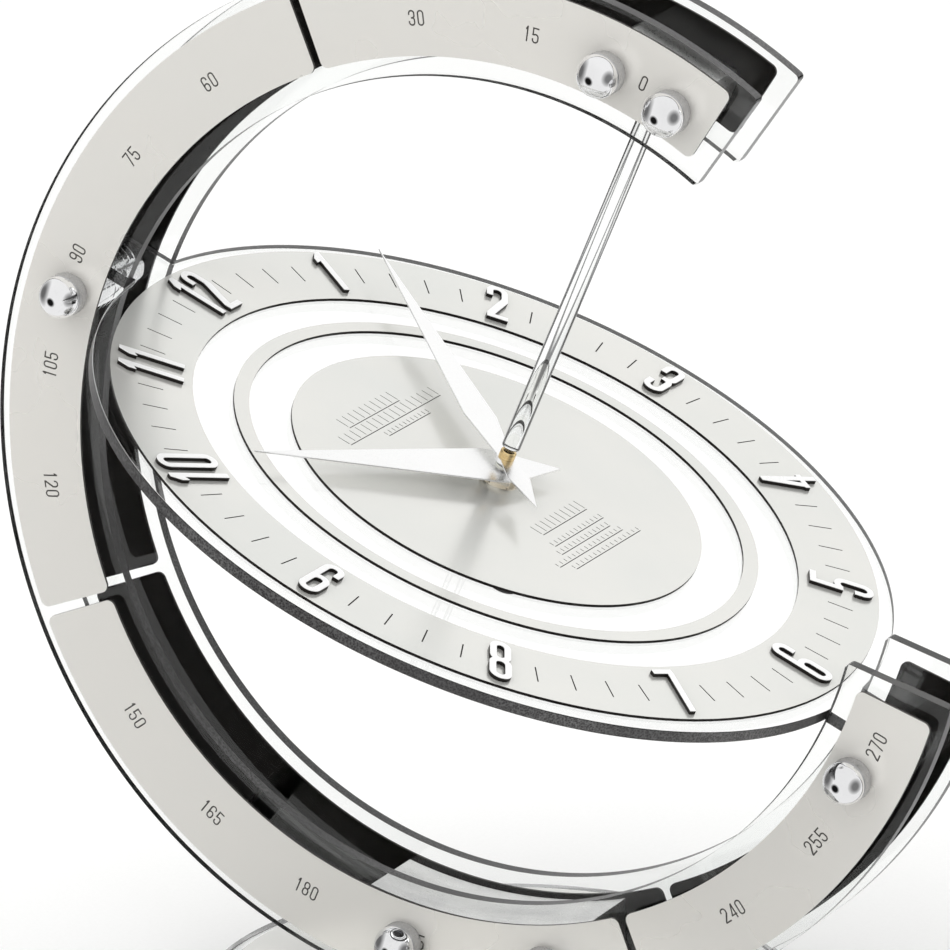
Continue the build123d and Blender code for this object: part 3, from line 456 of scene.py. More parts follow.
class Wires:
    """A node tree with short calls to add and link nodes."""

    def __init__(self, tree: bpy.types.NodeTree) -> None:
        """Keep the tree."""
        self.tree = tree

    def node(self, kind: str, **settings: object) -> bpy.types.Node:
        """Add a node and set its properties.

        Args:
            kind: The node's type.
            **settings: The node's properties.

        Returns:
            The new node.
        """
        added = self.tree.nodes.new(kind)
        for key, value in settings.items():
            setattr(added, key, value)
        return added

    def link(self, source: object, target: object) -> None:
        """Link an output to an input, or set the input when source is a value.

        Args:
            source: An output socket or a value.
            target: The input socket.
        """
        if isinstance(source, bpy.types.NodeSocket):
            self.tree.links.new(source, target)
        else:
            target.default_value = source

    def noise(self, vector: object, scale: object, detail: float = 2.0,
              rough: float = 0.5) -> object:
        """Add a noise texture and return its value output.

        Args:
            vector: Texture coordinates.
            scale: Cells per metre.
            detail: Octaves.
            rough: Weight of the finer octaves.

        Returns:
            The value output.
        """
        added = self.node("ShaderNodeTexNoise")
        self.link(vector, added.inputs["Vector"])
        self.link(scale, added.inputs["Scale"])
        added.inputs["Detail"].default_value = detail
        added.inputs["Roughness"].default_value = rough
        return added.outputs["Fac"]

    def math(self, operation: str, first: object, second: object = 0.0,
             clamp: bool = False) -> object:
        """Add a math node and return its output.

        Args:
            operation: The node's operation.
            first: First value or output.
            second: Second value or output.
            clamp: Whether to clamp to 0 and 1.

        Returns:
            The value output.
        """
        added = self.node("ShaderNodeMath", operation=operation, use_clamp=clamp)
        for value, socket in zip((first, second), added.inputs):
            self.link(value, socket)
        return added.outputs[0]

    def span(self, value: object, low: object, high: object, to_low: object = 0.0,
             to_high: object = 1.0) -> object:
        """Map a value from one range to another, clamped.

        Args:
            value: Output to map.
            low: Start of its range.
            high: End of its range.
            to_low: Result at the start.
            to_high: Result at the end.

        Returns:
            The result output.
        """
        added = self.node("ShaderNodeMapRange", clamp=True)
        names = ("Value", "From Min", "From Max", "To Min", "To Max")
        for source, name in zip((value, low, high, to_low, to_high), names):
            self.link(source, added.inputs[name])
        return added.outputs["Result"]

    def mix(self, factor: object, first: object, second: object) -> object:
        """Mix two colours.

        Args:
            factor: Share of the second colour.
            first: First colour or output.
            second: Second colour or output.

        Returns:
            The colour output.
        """
        added = self.node("ShaderNodeMix", data_type="RGBA")
        self.link(factor, added.inputs["Factor"])
        self.link(first, added.inputs["A"])
        self.link(second, added.inputs["B"])
        return added.outputs["Result"]

    def stretch(self, vector: object, scale: Triple, turn: Triple = (0, 0, 0)) -> object:
        """Scale and turn texture coordinates.

        Args:
            vector: Texture coordinates.
            scale: Scale along each axis.
            turn: Turn about each axis in radians.

        Returns:
            The vector output.
        """
        added = self.node("ShaderNodeMapping")
        self.link(vector, added.inputs["Vector"])
        added.inputs["Scale"].default_value = scale
        added.inputs["Rotation"].default_value = turn
        return added.outputs["Vector"]


class Effects:
    """Shared shader node groups, built once and placed in many materials."""

    made: dict[str, bpy.types.NodeTree] = {}

    @classmethod
    def group(cls, name: str, inputs: dict[str, tuple[str, object]], outputs: dict[str, str],
              build: Callable) -> bpy.types.NodeTree:
        """Make a group the first time it is asked for.

        Args:
            name: Name of the group.
            inputs: Input names with their socket type and start value.
            outputs: Output names with their socket type.
            build: Called with the wires, the group's inputs and its outputs.

        Returns:
            The node group.
        """
        if name in cls.made:
            return cls.made[name]
        tree = bpy.data.node_groups.new(name, "ShaderNodeTree")
        for key, (kind, start) in inputs.items():
            socket = tree.interface.new_socket(key, in_out="INPUT", socket_type=kind)
            if start is not None:
                socket.default_value = start
        for key, kind in outputs.items():
            tree.interface.new_socket(key, in_out="OUTPUT", socket_type=kind)
        wires = Wires(tree)
        entry = wires.node("NodeGroupInput")
        leave = wires.node("NodeGroupOutput")
        build(wires, entry.outputs, leave.inputs)
        cls.made[name] = tree
        return tree

    @classmethod
    def use(cls, wires: Wires, tree: bpy.types.NodeTree, **values: object) -> object:
        """Place a group in a material and return its outputs.

        Args:
            wires: The material's node tree.
            tree: The node group.
            **values: Values or outputs for its inputs, by name.

        Returns:
            The placed group's outputs.
        """
        added = wires.node("ShaderNodeGroup")
        added.node_tree = tree
        for key, value in values.items():
            wires.link(value, added.inputs[key.replace("_", " ")])
        return added.outputs

    @classmethod
    def layer(cls) -> bpy.types.NodeTree:
        """Mask that is one above a level along an axis and zero below.

        Returns:
            The node group.
        """
        def build(wires: Wires, given: object, out: object) -> None:
            """Wire the group.

            Args:
                wires: The group's node tree.
                given: The group's inputs.
                out: The group's output sockets.
            """
            dot = wires.node("ShaderNodeVectorMath", operation="DOT_PRODUCT")
            wires.link(given["Vector"], dot.inputs[0])
            wires.link(given["Axis"], dot.inputs[1])
            above = wires.math("SUBTRACT", dot.outputs["Value"], given["Level"])
            wires.link(wires.span(above, -MASK_BLUR, MASK_BLUR), out["Mask"])

        inputs = {"Vector": ("NodeSocketVector", None), "Axis": ("NodeSocketVector", None),
                  "Level": ("NodeSocketFloat", 0.0)}
        return cls.group("layer_mask", inputs, {"Mask": "NodeSocketFloat"}, build)

    @classmethod
    def blast(cls) -> bpy.types.NodeTree:
        """Fine blasted grain: a height, and a slow cloud for tone.

        Returns:
            The node group.
        """
        def build(wires: Wires, given: object, out: object) -> None:
            """Wire the group.

            Args:
                wires: The group's node tree.
                given: The group's inputs.
                out: The group's output sockets.
            """
            pit_scale, pit_share = 0.31, 0.3
            fine = wires.noise(given["Vector"], given["Grain"], 3.0, 0.6)
            coarse = wires.math("MULTIPLY", given["Grain"], pit_scale)
            pits = wires.math("MULTIPLY", wires.noise(given["Vector"], coarse), pit_share)
            grains = wires.math("MULTIPLY", fine, 1.0 - pit_share)
            wires.link(wires.math("ADD", grains, pits), out["Height"])
            wires.link(wires.noise(given["Vector"], given["Cloud"], 3.0), out["Tone"])

        inputs = {"Vector": ("NodeSocketVector", None), "Grain": ("NodeSocketFloat", 4000.0),
                  "Cloud": ("NodeSocketFloat", 30.0)}
        outputs = {"Height": "NodeSocketFloat", "Tone": "NodeSocketFloat"}
        return cls.group("blasted_grain", inputs, outputs, build)

    @classmethod
    def scuffs(cls) -> bpy.types.NodeTree:
        """Thin wandering scratches and wipe marks as one mask.

        Returns:
            The node group.
        """
        def build(wires: Wires, given: object, out: object) -> None:
            """Wire the group.

            Args:
                wires: The group's node tree.
                given: The group's inputs.
                out: The group's output sockets.
            """
            strokes = (((1.0, 0.04, 0.3), (0.3, 0.9, 0.5)), ((0.05, 1.0, 0.4), (1.1, 0.2, 0.7)))
            stroke_width, wipe_scale = 0.012, 0.1
            marks = []
            for scale, turn in strokes:
                vector = wires.stretch(given["Vector"], scale, turn)
                value = wires.noise(vector, given["Scale"], 2.0, 0.55)
                ridge = wires.math("ABSOLUTE", wires.math("SUBTRACT", value, 0.5))
                marks.append(wires.span(ridge, 0.0, stroke_width, 1.0, 0.0))
            both = wires.math("MAXIMUM", *marks)
            slow = wires.math("MULTIPLY", given["Scale"], wipe_scale)
            wiped = wires.span(wires.noise(given["Vector"], slow), 0.45, 0.7)
            wires.link(wires.math("MULTIPLY", both, wiped), out["Mask"])

        inputs = {"Vector": ("NodeSocketVector", None), "Scale": ("NodeSocketFloat", 300.0)}
        return cls.group("scuff_marks", inputs, {"Mask": "NodeSocketFloat"}, build)

    @classmethod
    def speckle(cls) -> bpy.types.NodeTree:
        """Coarse saw-cut speckle.

        Returns:
            The node group.
        """
        def build(wires: Wires, given: object, out: object) -> None:
            """Wire the group.

            Args:
                wires: The group's node tree.
                given: The group's inputs.
                out: The group's output sockets.
            """
            finer = 1.7
            cells = wires.node("ShaderNodeTexVoronoi", feature="F1")
            wires.link(given["Vector"], cells.inputs["Vector"])
            wires.link(given["Scale"], cells.inputs["Scale"])
            scale = wires.math("MULTIPLY", given["Scale"], finer)
            grain = wires.noise(given["Vector"], scale, 3.0, 0.65)
            both = wires.math("MULTIPLY", cells.outputs["Distance"], grain)
            wires.link(wires.span(both, 0.1, 0.4), out["Mask"])

        inputs = {"Vector": ("NodeSocketVector", None), "Scale": ("NodeSocketFloat", 900.0)}
        return cls.group("saw_speckle", inputs, {"Mask": "NodeSocketFloat"}, build)


FINISHED: dict[str, bpy.types.Material] = {}


@dataclass(frozen=True)
class Finish:
    """Base of every finish: a named material with a Principled shader."""

    name: str

    def material(self) -> bpy.types.Material:
        """Return the finish's material, made the first time.

        Returns:
            The material.
        """
        if self.name in FINISHED:
            return FINISHED[self.name]
        made = FINISHED[self.name] = bpy.data.materials.new(self.name)
        made.use_nodes = True
        wires = Wires(made.node_tree)
        shader = made.node_tree.nodes["Principled BSDF"]
        where = wires.node("ShaderNodeTexCoord").outputs["Object"]
        self.wire(wires, shader.inputs, where)
        return made

    def wire(self, wires: Wires, sockets: object, where: object) -> None:
        """Wire the finish; each finish has its own."""
        raise NotImplementedError

    @staticmethod
    def bump(wires: Wires, sockets: object, height: object, strength: float,
             depth: float = FINE_BUMP) -> None:
        """Feed a height into the shader's normal.

        Args:
            wires: The material's node tree.
            sockets: The shader's inputs.
            height: Output that gives the height.
            strength: Share of the effect.
            depth: Depth in metres.
        """
        added = wires.node("ShaderNodeBump")
        added.inputs["Strength"].default_value = strength
        added.inputs["Distance"].default_value = depth
        wires.link(height, added.inputs["Height"])
        wires.link(added.outputs["Normal"], sockets["Normal"])


@dataclass(frozen=True)
class Acrylic(Finish):
    """Clear polished acrylic with faint wipe marks."""

    tint: Colour = (0.975, 0.985, 0.98)
    clearest: Colour = (0.99, 0.992, 0.99)
    scuff_scale: float = 240.0
    haze_scale: float = 18.0
    haze_rough: float = 0.012
    scuff_rough: float = 0.02

    def wire(self, wires: Wires, sockets: object, where: object) -> None:
        """Clear sheet: plain transmission, a little haze where it was wiped.

        Args:
            wires: The material's node tree.
            sockets: The shader's inputs.
            where: Object coordinates.
        """
        sockets["Transmission Weight"].default_value = 1.0
        sockets["IOR"].default_value = ACRYLIC_IOR
        sockets["Metallic"].default_value = 0.0
        marks = Effects.use(wires, Effects.scuffs(), Vector=where, Scale=self.scuff_scale)["Mask"]
        haze = wires.noise(where, self.haze_scale, 3.0)
        tone = wires.mix(wires.span(haze, 0.3, 0.7), (*self.tint, 1.0), (*self.clearest, 1.0))
        wires.link(tone, sockets["Base Color"])
        rough = wires.span(haze, 0.45, 0.8, 0.0, self.haze_rough)
        scuffed = wires.math("MULTIPLY", marks, self.scuff_rough)
        wires.link(wires.math("ADD", rough, scuffed), sockets["Roughness"])


@dataclass(frozen=True)
class RodAcrylic(Acrylic):
    """Clear round bar with painted reflections: thin dark lines painted into its colour at its
    sides and along two fine inner lines stand in for the dark of the room seen in it.
    """

    # rim and core are colours of painted reflections: the dark outline of the bar and its two fine
    # inner lines.
    rim: Colour = (0.02, 0.02, 0.022)
    core: Colour = (0.05, 0.05, 0.052)
    painted_line_rise: tuple[float, float] = (0.135, 0.15)
    painted_line_fall: tuple[float, float] = (0.175, 0.20)
    painted_rim_rise: tuple[float, float] = (0.42, 0.56)

    def wire(self, wires: Wires, sockets: object, where: object) -> None:
        """Clear bar with painted reflections: its colour is darker where it turns away and along
        two fine inner lines.

        Args:
            wires: The material's node tree.
            sockets: The shader's inputs.
            where: Object coordinates.
        """
        super().wire(wires, sockets, where)
        # Painted reflections: the facing mask darkens the base colour into an outline and two
        # inner lines.
        facing = wires.node("ShaderNodeLayerWeight").outputs["Facing"]
        clear = (*self.tint, 1.0)
        rise = wires.span(facing, *self.painted_line_rise)
        fall = wires.span(facing, *self.painted_line_fall, 1.0, 0.0)
        inner = wires.mix(wires.math("MULTIPLY", rise, fall), clear, (*self.core, 1.0))
        rim = wires.span(facing, *self.painted_rim_rise)
        wires.link(wires.mix(rim, inner, (*self.rim, 1.0)), sockets["Base Color"])


@dataclass(frozen=True)
class SawnEdge(Finish):
    """Matt machined rim of a clear sheet, painted an opaque speckled dark grey: painted shade that
    stands in for the dark seen in the clear rim.
    """

    # dark and light are painted shade: the clear rim is coloured opaque dark grey.
    dark: Colour = (0.022, 0.020, 0.021)
    light: Colour = (0.15, 0.15, 0.15)
    scale: float = 1500.0
    rough: tuple[float, float] = (0.28, 0.5)
    specular: float = 0.25
    coat: float = 0.15
    coat_rough: float = 0.2
    relief: float = 0.35
    depth: float = 0.1 * MM

    def wire(self, wires: Wires, sockets: object, where: object) -> None:
        """Two painted-shade greys by speckle, with a coat for the wet look of acrylic.

        Args:
            wires: The material's node tree.
            sockets: The shader's inputs.
            where: Object coordinates.
        """
        spots = Effects.use(wires, Effects.speckle(), Vector=where, Scale=self.scale)["Mask"]
        slow = wires.noise(where, 26.0, 2.0)
        amount = wires.math("MULTIPLY", spots, wires.span(slow, 0.3, 0.75, 0.35, 1.0))
        wires.link(wires.mix(amount, (*self.dark, 1.0), (*self.light, 1.0)), sockets["Base Color"])
        wires.link(wires.span(spots, 0.0, 1.0, *self.rough), sockets["Roughness"])
        sockets["Specular IOR Level"].default_value = self.specular
        sockets["Coat Weight"].default_value = self.coat
        sockets["Coat Roughness"].default_value = self.coat_rough
        self.bump(wires, sockets, spots, self.relief, self.depth)


@dataclass(frozen=True)
class Laminate(Finish):
    """Satin silver skin on a black core, told apart by height along an axis."""

    axis: Triple = (0.0, 0.0, 1.0)
    level: float = 0.0
    silver: Colour = (0.775, 0.77, 0.74)
    shade: Colour = (0.74, 0.745, 0.72)
    core: Colour = (0.012, 0.010, 0.009)
    polish: float = 0.2
    metal: float = 0.6
    specular: float = 0.12
    core_rough: float = 0.42
    grain: float = 5200.0
    cloud: float = 22.0
    relief: float = 0.12
    depth: float = 0.03 * MM

    def wire(self, wires: Wires, sockets: object, where: object) -> None:
        """Metallic skin above the level, matt black core below it.

        Args:
            wires: The material's node tree.
            sockets: The shader's inputs.
            where: Object coordinates.
        """
        sockets["Specular IOR Level"].default_value = self.specular
        mask = Effects.use(wires, Effects.layer(), Vector=where, Axis=self.axis,
                           Level=self.level)["Mask"]
        grain = Effects.use(wires, Effects.blast(), Vector=where, Grain=self.grain,
                            Cloud=self.cloud)
        slow = wires.span(grain["Tone"], 0.35, 0.65)
        tone = wires.mix(slow, (*self.silver, 1.0), (*self.shade, 1.0))
        wires.link(wires.mix(mask, (*self.core, 1.0), tone), sockets["Base Color"])
        wires.link(wires.math("MULTIPLY", mask, self.metal), sockets["Metallic"])
        skin = wires.span(grain["Tone"], 0.3, 0.7, self.polish - 0.02, self.polish + 0.03)
        rough = wires.node("ShaderNodeMix", data_type="FLOAT")
        wires.link(mask, rough.inputs["Factor"])
        rough.inputs["A"].default_value = self.core_rough
        wires.link(skin, rough.inputs["B"])
        wires.link(rough.outputs["Result"], sockets["Roughness"])
        self.bump(wires, sockets, grain["Height"], self.relief, self.depth)


@dataclass(frozen=True)
class Metal(Finish):
    """Bare metal with a grain direction, scuffs and tone."""

    base: Colour = (0.7, 0.7, 0.7)
    dull: Colour = (0.6, 0.6, 0.6)
    rough: tuple[float, float] = (0.2, 0.3)
    grain: Triple = (1.0, 1.0, 1.0)
    scale: float = 900.0
    relief: float = 0.1
    cloud: float = 60.0
    scuff_scale: float = 700.0

    def wire(self, wires: Wires, sockets: object, where: object) -> None:
        """Metallic all over, with grain in roughness and height.

        Args:
            wires: The material's node tree.
            sockets: The shader's inputs.
            where: Object coordinates.
        """
        sockets["Metallic"].default_value = 1.0
        streaks = wires.noise(wires.stretch(where, self.grain), self.scale, 4.0, 0.6)
        cloud = wires.noise(where, self.cloud, 3.0)
        marks = Effects.use(wires, Effects.scuffs(), Vector=where, Scale=self.scuff_scale)["Mask"]
        scuffed = wires.math("MULTIPLY", marks, 0.5)
        worn = wires.math("ADD", wires.span(cloud, 0.4, 0.75), scuffed, clamp=True)
        wires.link(wires.mix(worn, (*self.base, 1.0), (*self.dull, 1.0)), sockets["Base Color"])
        wires.link(wires.span(streaks, 0.25, 0.75, *self.rough), sockets["Roughness"])
        self.bump(wires, sockets, streaks, self.relief)


@dataclass(frozen=True)
class Plastic(Finish):
    """Moulded plastic or rubber with a spark-eroded texture."""

    base: Colour = (0.03, 0.03, 0.03)
    worn: Colour = (0.06, 0.06, 0.06)
    rough: tuple[float, float] = (0.35, 0.55)
    grain: float = 2600.0
    relief: float = 0.25
    subsurface: float = 0.0
    cloud: float = 70.0

    def wire(self, wires: Wires, sockets: object, where: object) -> None:
        """Fine grain in height and roughness, slow change in colour.

        Args:
            wires: The material's node tree.
            sockets: The shader's inputs.
            where: Object coordinates.
        """
        grain = Effects.use(wires, Effects.blast(), Vector=where, Grain=self.grain,
                            Cloud=self.cloud)
        tone = wires.span(grain["Tone"], 0.35, 0.7)
        wires.link(wires.mix(tone, (*self.base, 1.0), (*self.worn, 1.0)), sockets["Base Color"])
        wires.link(wires.span(grain["Height"], 0.3, 0.7, *self.rough), sockets["Roughness"])
        sockets["Subsurface Weight"].default_value = self.subsurface
        self.bump(wires, sockets, grain["Height"], self.relief)


@dataclass(frozen=True)
class Winding(Finish):
    """Enamelled copper wire wound side by side."""

    base: Colour = (0.55, 0.20, 0.08)
    # groove is painted shade: the colour between the turns of wire is darkened where shade falls.
    groove: Colour = (0.25, 0.08, 0.03)
    lean: float = 23.5
    scale: float = 900.0
    waver: float = 0.6
    metal: float = 0.8
    rough: tuple[float, float] = (0.4, 0.25)
    relief: float = 0.5
    depth: float = 0.1 * MM

    def wire(self, wires: Wires, sockets: object, where: object) -> None:
        """Bands across the coil's length, with painted shade in the grooves between the turns.

        Args:
            wires: The material's node tree.
            sockets: The shader's inputs.
            where: Object coordinates.
        """
        bands = wires.node("ShaderNodeTexWave", wave_type="BANDS", bands_direction="X")
        turned = wires.stretch(where, (1.0, 1.0, 1.0), (0.0, math.radians(self.lean), 0.0))
        wires.link(turned, bands.inputs["Vector"])
        bands.inputs["Scale"].default_value = self.scale
        bands.inputs["Distortion"].default_value = self.waver
        crest = bands.outputs["Fac"]
        tone = wires.mix(crest, (*self.groove, 1.0), (*self.base, 1.0))
        wires.link(tone, sockets["Base Color"])
        sockets["Metallic"].default_value = self.metal
        wires.link(wires.span(crest, 0.0, 1.0, *self.rough), sockets["Roughness"])
        self.bump(wires, sockets, crest, self.relief, self.depth)


ACRYLIC = Acrylic("polished_clear_sheet")
ROD = RodAcrylic("polished_clear_bar")
SAWN_PAINTED_SHADE = SawnEdge("sawn_acrylic_edge")
CHROME = Metal("polished_chrome", base=(0.82, 0.82, 0.83), dull=(0.72, 0.72, 0.73),
               rough=(0.03, 0.07), scale=1500.0, relief=0.01)
HAND = Metal("bright_satin_aluminium", base=(0.95, 0.95, 0.95), dull=(0.92, 0.92, 0.92),
             rough=(0.24, 0.34), scale=2500.0, relief=0.04)
ALUMINIUM = Metal("milled_aluminium", base=(0.72, 0.72, 0.71), dull=(0.58, 0.58, 0.58),
                  rough=(0.22, 0.4), grain=(0.03, 1.0, 1.0), scale=2600.0, relief=0.2)
STEEL = Metal("ground_steel", base=(0.46, 0.46, 0.47), dull=(0.34, 0.34, 0.35),
              rough=(0.2, 0.42), grain=(1.0, 1.0, 0.05), scale=1800.0, relief=0.2)
BRASS = Metal("turned_brass", base=(0.74, 0.57, 0.30), dull=(0.55, 0.39, 0.18),
              rough=(0.14, 0.3), grain=(1.0, 1.0, 0.2), scale=2400.0, relief=0.1)
PLATED = Metal("nickelled_brass", base=(0.80, 0.76, 0.68), dull=(0.66, 0.60, 0.50),
               rough=(0.1, 0.22), grain=(1.0, 1.0, 0.2), scale=2400.0, relief=0.06)
JACKET = Metal("foil_cell_jacket", base=(0.25, 0.27, 0.30), dull=(0.16, 0.17, 0.2),
               rough=(0.24, 0.4), grain=(1.0, 0.05, 1.0), scale=1500.0, relief=0.05)
CASE = Plastic("black_moulding")
RUBBER = Plastic("foot_rubber", base=(0.02, 0.02, 0.02), worn=(0.035, 0.034, 0.033),
                 rough=(0.6, 0.8), grain=1800.0, relief=0.4)
ACETAL = Plastic("natural_acetal", base=(0.80, 0.78, 0.70), worn=(0.70, 0.68, 0.60),
                 rough=(0.25, 0.4), grain=3200.0, relief=0.08, subsurface=0.1)
BOARD = Plastic("green_mask", base=(0.02, 0.16, 0.07), worn=(0.03, 0.21, 0.10),
                rough=(0.2, 0.35), grain=900.0, relief=0.1)
COPPER = Winding("copper_winding")


def dress(node: str, finish: Finish) -> None:
    """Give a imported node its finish; its mesh stays as it is.

    Args:
        node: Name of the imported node.
        finish: The finish to give it.
    """
    mesh = frame["nodes"][node].data
    material = finish.material()
    if not mesh.materials:
        mesh.materials.append(material)
    for index in range(len(mesh.materials)):
        mesh.materials[index] = material
    LOG.info("dressed %s with %s", node, finish.name)


def hand_over(piece: bpy.types.Object, body: Body, finish: Finish,
              node: str) -> None:
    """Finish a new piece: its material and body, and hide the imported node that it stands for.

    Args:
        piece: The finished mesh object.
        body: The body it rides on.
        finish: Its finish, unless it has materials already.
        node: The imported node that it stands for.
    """
    if not piece.data.materials:
        piece.data.materials.append(finish.material())
    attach(piece, body.value)
    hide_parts(node)
    LOG.info("built %s on %s: %d faces", piece.name, body.value, len(piece.data.polygons))


def soft_copy(node: str, name: str, width: float, angle: float, body: Body,
              finish: Finish, split: bool = False) -> None:
    """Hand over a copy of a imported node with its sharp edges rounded.

    Args:
        node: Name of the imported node.
        name: Name of the copy.
        width: Width of the rounding.
        angle: Edges sharper than this many degrees are rounded.
        body: The body it rides on.
        finish: Its finish.
        split: Whether to split its concave faces, as round an opening.
    """
    piece = Bench.copy_node(node, name, split)
    Bench.soften(piece, width, angle)
    hand_over(piece, body, finish, node)


# Sub-assemblies


@dataclass
class Meridian:
    """Two clear C-shaped plates with satin scales, tied by studs and dome nuts."""

    inner: float = 133.5 * MM
    outer: float = 170.0 * MM
    inside: float = 12.3 * MM
    sheet: float = 4.0 * MM
    band: float = 17.3 * MM
    start: float = -12.0
    end: float = 278.0
    corner: float = 1.5 * MM
    edge: float = 0.25 * MM
    skin: float = 0.05 * MM
    stud_hole: float = 2.6 * MM
    silver: tuple[Colour, Colour] = ((0.92, 0.90, 0.855), (0.89, 0.875, 0.835))
    # The front plate's core is painted lighter than the back one's: painted light on one of two
    # copies of the same black core.
    cores_front_painted_lighter: dict[Side, Colour] = field(default_factory=lambda: {
        Side.FRONT: (0.085, 0.08, 0.075), Side.BACK: (0.012, 0.010, 0.009)})
    ring: float = 150.0 * MM
    foot_ring: float = 153.0 * MM
    studs: tuple[tuple[float, float], ...] = (
        (ring, -4.6), (ring, 4.6), (ring, 95.0), (ring, 265.0),
        (foot_ring, 194.0), (foot_ring, 213.0))
    spacers: tuple[float, float] = (95.0, 265.0)

    def build(self) -> None:
        """Build and dress everything that stands on the saddle."""
        for side in Side:
            self.plate(side)
            word = side.name.lower()
            scale = Laminate(f"laminate_scale_{word}", (0.0, float(side.value), 0.0),
                             self.band - self.skin, *self.silver, self.cores_front_painted_lighter[side],
                             polish=0.28, metal=0.3)
            for index in range(1, 5):
                dress(f"scale_band_{word}_{index}", scale)
        self.nuts()
        self.collars()
        dress("tie_studs", STEEL)
        soft_copy("pole_block", "pole_block_soft", 0.4 * MM, 40.0, Body.STAND,
                  ALUMINIUM)
        dress("grub_screw", STEEL)
        soft_copy("saddle_block", "saddle_soft", 0.5 * MM, 40.0, Body.STAND,
                  ALUMINIUM)

    def at(self, radius: float, angle: float) -> tuple[float, float]:
        """Point of the meridian frame at a radius and an angle from the pole."""
        turn = math.radians(angle)
        return radius * math.cos(turn), radius * math.sin(turn)

    def plate(self, side: Side) -> None:
        """Spin one clear plate, round its ends, drill it and polish its edges.

        Args:
            side: Which of the two plates.
        """
        low = self.inside if side is Side.FRONT else -self.inside - self.sheet
        high = low + self.sheet
        profile = [(self.inner, low), (self.outer, low), (self.outer, high), (self.inner, high)]
        sweep = self.end - self.start
        piece = Bench.sector(f"clear_plate_{side.name.lower()}", profile, self.start, sweep,
                             round(sweep))
        vertices = piece.data.vertices
        slack = 0.2

        def end_edge(edge: bpy.types.MeshEdge) -> bool:
            """True for the four upright edges of the two ends.

            Args:
                edge: An edge of the plate.

            Returns:
                Whether it is one of them.
            """
            a, b = (vertices[i].co for i in edge.vertices)
            if (a.xy - b.xy).length > WELD:
                return False
            turn = math.degrees(math.atan2(a.y, a.x)) % 360
            return min(abs(turn - self.start % 360), abs(turn - self.end)) < slack

        Bench.select(piece, "EDGE", end_edge)
        bpy.ops.mesh.bevel(offset=self.corner, segments=5, affect="EDGES")
        Bench.clear()
        drills = []
        for radius, angle in self.studs:
            x, y = self.at(radius, angle)
            drills.append(Bench.cylinder("drill", self.stud_hole, low - self.sheet,
                                         high + self.sheet, x, y, 40))
        Bench.combine(piece, drills, "DIFFERENCE")
        Bench.soften(piece, self.edge, 50.0)
        low_rim, high_rim = self.inner + WELD, self.outer - 0.2 * MM

        def rim(face: bpy.types.MeshPolygon) -> bool:
            """True on the inner and outer rims of the sheet."""
            clear = low_rim < face.center.xy.length < high_rim
            return not clear and abs(face.normal.z) < UPRIGHT

        # The rims get the sawn-edge finish, which is painted shade on clear acrylic.
        Bench.paint(piece, ACRYLIC, SAWN_PAINTED_SHADE, rim)
        Bench.place(piece, MERIDIAN)
        hand_over(piece, Body.STAND, ACRYLIC, f"meridian_plate_{side.name.lower()}")

    def nuts(self) -> None:
        """Turn one dome nut and copy it to both ends of every stud."""
        ball, skirt, top, groove = 6.9 * MM, 7.0 * MM, 13.0 * MM, 6.4 * MM
        bore, blind, shoulder = 2.52, 9.0, 6.0
        turned = ((0.0, blind), (bore, blind), (bore, 0.1), (bore + 0.1, 0.0),
                  (shoulder - 0.2, 0.0), (shoulder, 0.2), (shoulder, 1.3), (5.75, 1.5),
                  (6.4, 1.6), (6.78, 1.72), (6.9, 2.0), (6.9, 6.1), (6.68, 6.3), (6.68, 6.7),
                  (6.9, 6.9))
        profile = [(radius * MM, height * MM) for radius, height in turned]
        rise = top - skirt
        sphere = (ball ** 2 + rise ** 2) / (2 * rise)
        start = math.asin(ball / sphere)
        arcs = 14
        for step in range(arcs + 1):
            angle = start * (1 - step / arcs)
            profile.append((sphere * math.sin(angle), top - sphere + sphere * math.cos(angle)))
        first = Bench.lathe("dome_nut_pattern", profile, 56)
        Bench.smooth(first, 28.0)
        # Faces below the groove get the darker ground-steel finish: painted dark reflection on a
        # nut that is chrome all over.
        Bench.paint(first, CHROME, STEEL, lambda face: face.center.z < groove)
        copies = []
        for radius, angle in self.studs:
            x, y = self.at(radius, angle)
            for side in (-1, 1):
                twin = first.copy()
                twin.data = first.data.copy()
                bpy.context.scene.collection.objects.link(twin)
                flip = Matrix.Identity(4) if side > 0 else Matrix.Rotation(math.pi, 4, "X")
                twin.matrix_world = Matrix.Translation((x, y, side * self.band)) @ flip
                Bench.apply_place(twin)
                copies.append(twin)
        bpy.data.objects.remove(first)
        piece = Bench.join(copies, "polished_dome_nuts")
        Bench.place(piece, MERIDIAN)
        hand_over(piece, Body.STAND, CHROME, "dome_nuts")

    def collars(self) -> None:
        """Turn the ribbed collars between the plates, under the dial's tabs."""
        radius, bore = 9.0 * MM, 2.6 * MM
        reach = self.inside - 0.02 * MM
        ribs, groove, chamfer, plain = 7, 0.35 * MM, 0.3 * MM, 2.0 * MM
        mouth, foot = 0.32 * MM, 0.12 * MM
        profile = [(bore, -reach), (radius - chamfer, -reach), (radius, -reach + chamfer)]
        pitch = 2 * (reach - plain) / ribs
        for index in range(ribs):
            middle = -reach + plain + (index + 0.5) * pitch
            profile += [(radius, middle - mouth), (radius - groove, middle - foot),
                        (radius - groove, middle + foot), (radius, middle + mouth)]
        profile += [(radius, reach - chamfer), (radius - chamfer, reach), (bore, reach),
                    (bore, -reach)]
        pair = []
        for angle in self.spacers:
            x, y = self.at(self.ring, angle)
            turned = Bench.lathe("ribbed_collar", profile, 64)
            pair.append(Bench.place(turned, Matrix.Translation((x, y, 0.0))))
        piece = Bench.join(pair, "ribbed_collars")
        Bench.smooth(piece, 25.0)
        Bench.place(piece, MERIDIAN)
        hand_over(piece, Body.STAND, CHROME, "tab_spacers")


